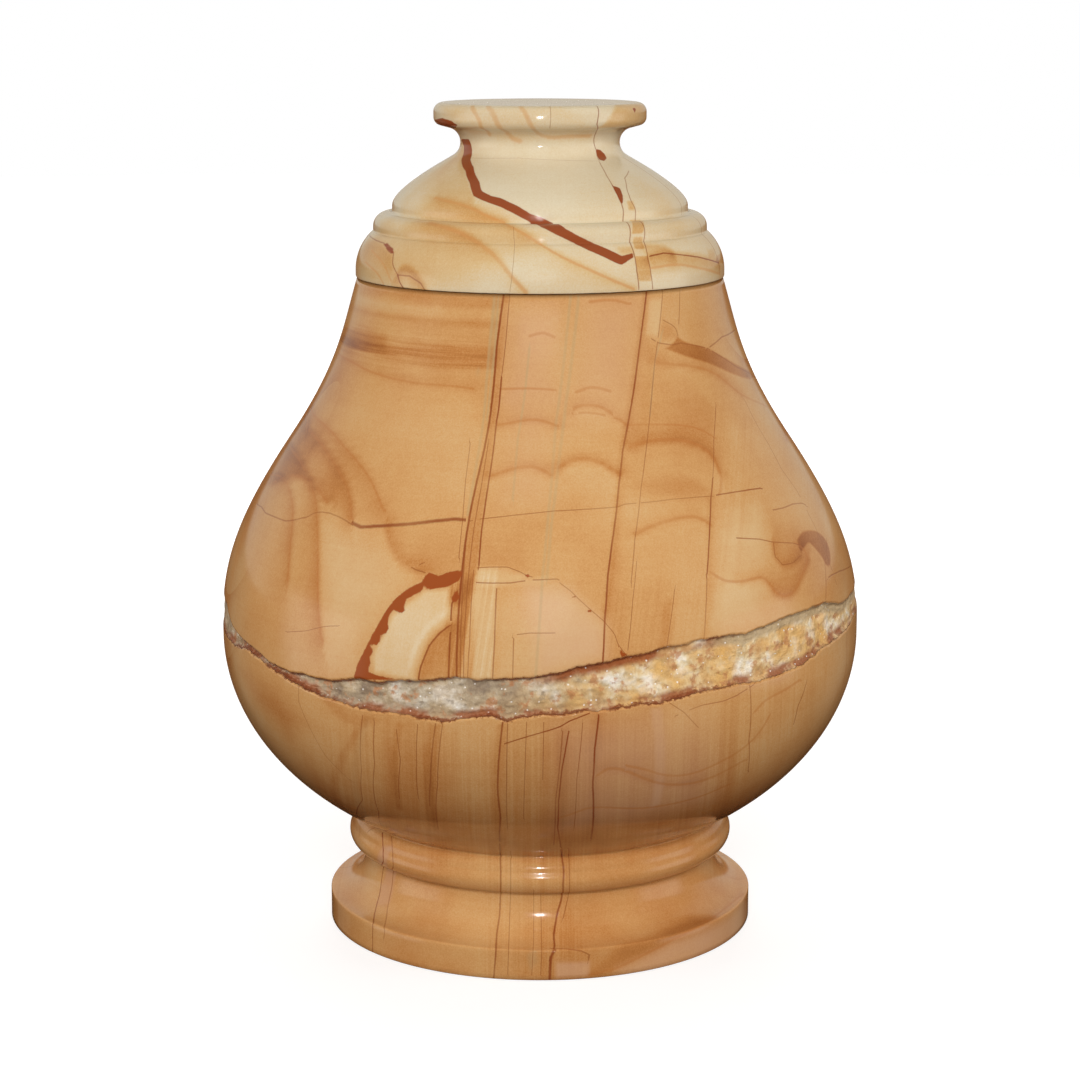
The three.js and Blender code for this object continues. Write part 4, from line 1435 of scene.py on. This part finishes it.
# %% The vein's colours
QUARTZ_STAINS_AND_PAINTED_GLINTS = {
    "amber": ("#DDAF68", [("patches", 0.4, 0.64, 0, 0.85), ("side", -15, 25, 0.2, 1)]),
    "rusty_flecks": ("#B97F52", [("flecks", 0.54, 0.64, 0, 0.75)]),
    "grey_flecks": ("#8E7E6C", [("flecks", 0.42, 0.34, 0, 0.6), ("warm", 0.2, 1, 1, 0.3)]),
    "lower_rim": ("#9A5E3A", [("vein_rise", 1.2, 3.4, 0.95, 0), ("lumps", 0.42, 0.56, 0.1, 1)]),
    "upper_rim": ("#985530", [("vein_drop", 1.6, 4.2, 0.95, 0), ("patches", 0.34, 0.48, 0.2, 1),
                              ("side", -6, 8, 0, 1), ("side", 66, 50, 0, 1)]),
    "agate_rim": ("#BAA37E", [("vein_drop", 2.4, 4.2, 0.95, 0), ("side", 46, 62, 0, 1)]),
    # Painted highlight: near-white specks in the colour, at the middles of crystals that would catch the
    # light
    "painted_glints": ("#FBF8F0", [("crystal_middle", 0.15, 0.3, 1, 0), ("crystal_turn", 0.86, 0.88, 0, 0.8)]),
}
BROKEN_LIP = ("#7E4022", [("off_lip", 0.1, 0.8, 0.9, 0), ("patches", 0.38, 0.5, 0.25, 1),
                          ("side", 68, 50, 0.35, 1)])

bright = weighted_sum(tree, 0.0, (measured["lumps"], 0, 0.8), (measured["crumbs"], 0, 0.17),
                      (faces, 0, 0.03))
grey = add(tree, "ShaderNodeValToRGB", [bright], stops=GREY_QUARTZ)
cream = add(tree, "ShaderNodeValToRGB", [bright], stops=CREAM_QUARTZ)
quartz = covered(tree, grey, cream, measured["warm"])
for hex_colour, rows in QUARTZ_STAINS_AND_PAINTED_GLINTS.values():
    quartz = covered(tree, quartz, linear(hex_colour), *shares_of(*rows))
open_vein = shares_of(("inside", -0.1, 0.2, 0, 1))[0]
stone_and_vein = covered(tree, bowl_stone.colour, quartz, open_vein)
bowl_stone.colour = covered(tree, stone_and_vein, linear(BROKEN_LIP[0]), *shares_of(*BROKEN_LIP[1]))
print("stains in the vein:", list(QUARTZ_STAINS_AND_PAINTED_GLINTS))

# %% The vein's gloss and fine relief in mm, and the finished stone
crystal_gloss = weighted_sum(tree, 0.22, (faces.outputs[1], 0, 0.4))
bowl_stone.gloss = add(tree, "ShaderNodeMix",
                       {"Factor": open_vein, 2: bowl_stone.gloss, 3: crystal_gloss}).outputs[0]
crystal_relief = weighted_sum(tree, 0.0, (measured["crumbs"], 0, 0.35), (measured["lumps"], 0, 0.6),
                              (measured["crystal_middle"], 0, 0.15))
bowl_stone.relief = weighted_sum(tree, all_of(tree, crystal_relief, open_vein),
                                 (bowl_stone.relief, 0, 1.0))
finish(bowl_stone)
body.data.materials.append(bowl_stone.material)
print("nodes in the tan block:", len(tree.nodes))

# %% Take the two pieces' places in the frame
for piece, solid, slot in ((body, "urn_body", "body_stone"), (lid, "urn_lid", "lid_stone")):
    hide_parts(solid)
    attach(piece, "root")
print("pieces:", body.name, lid.name)

# %% [markdown]
# ## Floor and light
# The photograph was lit by a flash just over the lens, against white. A soft light over
# the camera does the flash's work on the colours, and two narrow lights leave its small
# bright marks on the mouldings. The floor is a flat disc of white paper that glows more
# away from the urn, so that it fades into the light.

# %% The floor
FLOOR_RADIUS, FLOOR_DROP = 4, 0.0002
# The paper glows less near the urn: distance in metres from and to, and the glow there
GLOW = (0.1, 0.6, 0.72, 1.0)

bpy.ops.mesh.primitive_circle_add(
    vertices=96, radius=FLOOR_RADIUS, fill_type="NGON", location=(0, 0, -FLOOR_DROP))
floor = bpy.context.object
floor.name = "studio_floor"
paper = bpy.data.materials.new("white_paper_sheet")
paper.use_nodes = True
paper_tree = paper.node_tree
paper_shader = paper_tree.nodes["Principled BSDF"]
for socket, value in (("Base Color", linear("#A8A7A5")), ("Roughness", 0.9),
                      ("Specular IOR Level", 0.1), ("Emission Color", (1, 1, 1, 1))):
    paper_shader.inputs[socket].default_value = value
place = add(paper_tree, "ShaderNodeTexCoord").outputs["Object"]
from_urn = add(paper_tree, "ShaderNodeVectorMath", [place], operation="LENGTH").outputs["Value"]
glow = add(paper_tree, "ShaderNodeMapRange", [from_urn, *GLOW])
paper_tree.links.new(glow.outputs[0], paper_shader.inputs["Emission Strength"])
floor.data.materials.append(paper)
floor.visible_diffuse = False
floor.visible_glossy = False
print("floor:", floor.name)

# %% Lights
AIM_HEIGHT = 0.13
# Each soft light has its place and size in metres, and its watts.
SOFT_LIGHTS = {
    "over_camera": ((0, -1.35, 0.62), 0.5, 15.6),
    "left": ((-1.5, -0.3, 0.6), 0.9, 8.5),
    "right": ((1.5, -0.3, 0.6), 0.9, 9),
    "behind": ((0, 1.5, 0.75), 0.9, 15),
}
# Each flash has its place and the height it is aimed at. The lid's is a hair below the flat
# top, so that the top itself mirrors no lamp.
FLASHES = {
    "flash_on_foot": ((0, -0.917, 0.375), 0.010),
    "flash_on_lid": ((0, -0.917, 0.276), 0.276),
}
FLASH_WATTS, FLASH_RADIUS, FLASH_CONE, FLASH_EDGE = 5, 0.016, math.radians(5), 0.3


def lamp(name, kind, place, aim_height):
    data = bpy.data.lights.new(name, kind)
    made = bpy.data.objects.new(name, data)
    made.location = place
    aim = Vector((0, 0, aim_height)) - Vector(place)
    made.rotation_euler = aim.to_track_quat("-Z", "Y").to_euler()
    bpy.context.scene.collection.objects.link(made)
    return made


for name, (place, size, watts) in SOFT_LIGHTS.items():
    soft = lamp(name, "AREA", place, AIM_HEIGHT)
    soft.data.size = size
    soft.data.energy = watts
    soft.visible_glossy = False
for name, (place, aim_height) in FLASHES.items():
    flash = lamp(name, "SPOT", place, aim_height)
    flash.data.energy = FLASH_WATTS
    flash.data.shadow_soft_size = FLASH_RADIUS
    flash.data.spot_size = FLASH_CONE
    flash.data.spot_blend = FLASH_EDGE
    flash.visible_diffuse = False

# %% [markdown]
# The polished stone mirrors the room. In the photograph it shows a bright wall low on
# either side, a faint one further back, and a pale backdrop behind the flat top of the
# lid. Near its outline the stone mirrors only warm shade.

# %% Directions in the room: degrees turned from the front to either side, and raised
world = bpy.data.worlds.new("white_room")
bpy.context.scene.world = world
world.use_nodes = True
room = world.node_tree
heading = add(room, "ShaderNodeTexCoord").outputs["Generated"]
sideways, backwards, upwards = add(room, "ShaderNodeSeparateXYZ", [heading]).outputs
frontwards = add(room, "ShaderNodeMath", [backwards, -1.0], operation="MULTIPLY")
turned = add(room, "ShaderNodeMath", [sideways, frontwards], operation="ARCTAN2")
turned = add(room, "ShaderNodeMath", [turned], operation="ABSOLUTE")
turned = add(room, "ShaderNodeMath", [turned], operation="DEGREES")
raised = add(room, "ShaderNodeMath", [upwards], operation="ARCSINE")
raised = add(room, "ShaderNodeMath", [raised], operation="DEGREES")
upward_share = add(room, "ShaderNodeMapRange", [upwards, -1.0, 1.0])
print("room:", world.name)

# %% What the stone mirrors
SHADE = [(0.3, "#20150D"), (0.4, "#6E4428"), (0.5, "#8C6240"), (0.6, "#6E5238"), (0.85, "#958066")]
# For each panel, in degrees: where it starts to show, shows fully, starts to go and is
# gone, first sideways and then upwards, and its linear colour
PANELS = {
    "side_walls": ((60, 74, 94, 108), (-20, -12, 5, 12), (1.15, 1.1, 1.0, 1)),
    "faint_walls": ((124, 132, 144, 152), (-28, -20, 40, 60), (0.19, 0.15, 0.1, 1)),
    "pale_backdrop": ((100, 130, 181, 182), (-0.5, 1.5, 30, 50), (0.57, 0.53, 0.46, 1)),
}
mirrored = add(room, "ShaderNodeValToRGB", [upward_share], stops=SHADE)
for across, up_and_down, colour in PANELS.values():
    slopes = []
    for angle, (comes, shown, goes, gone) in ((turned, across), (raised, up_and_down)):
        for start, end in ((comes, shown), (gone, goes)):
            slopes.append(add(room, "ShaderNodeMapRange", [angle, start, end],
                              interpolation_type=SMOOTH))
    mirrored = covered(room, mirrored, colour, *slopes)
print("panels that the stone mirrors:", list(PANELS))

# %% The room: white to the camera, and otherwise as dim and warm as the stone shows it
WALLS = [(0.3, "#6E3E22"), (0.46, "#96603C"), (0.58, "#B8A898"), (0.8, "#A8A098")]
# Light from the front is weaker: from and to, and the strength there
FRONT_TO_BACK = (-0.9, 0.4, 0.3, 0.75)

walls = add(room, "ShaderNodeValToRGB", [upward_share], stops=WALLS)
strength = add(room, "ShaderNodeMapRange", [backwards, *FRONT_TO_BACK])
white = add(room, "ShaderNodeBackground", [(1, 1, 1, 1), 1.0])
around = add(room, "ShaderNodeBackground", [walls, strength])
mirror = add(room, "ShaderNodeBackground", [mirrored, 1.0])
ray = add(room, "ShaderNodeLightPath").outputs
lit = add(room, "ShaderNodeMixShader", [ray["Is Glossy Ray"], around, mirror])
seen = add(room, "ShaderNodeMixShader", [ray["Is Camera Ray"], lit, white])
room.links.new(seen.outputs[0], room.nodes["World Output"].inputs[0])
bpy.context.scene.view_settings.view_transform = "Standard"
print("nodes in the room:", len(room.nodes))
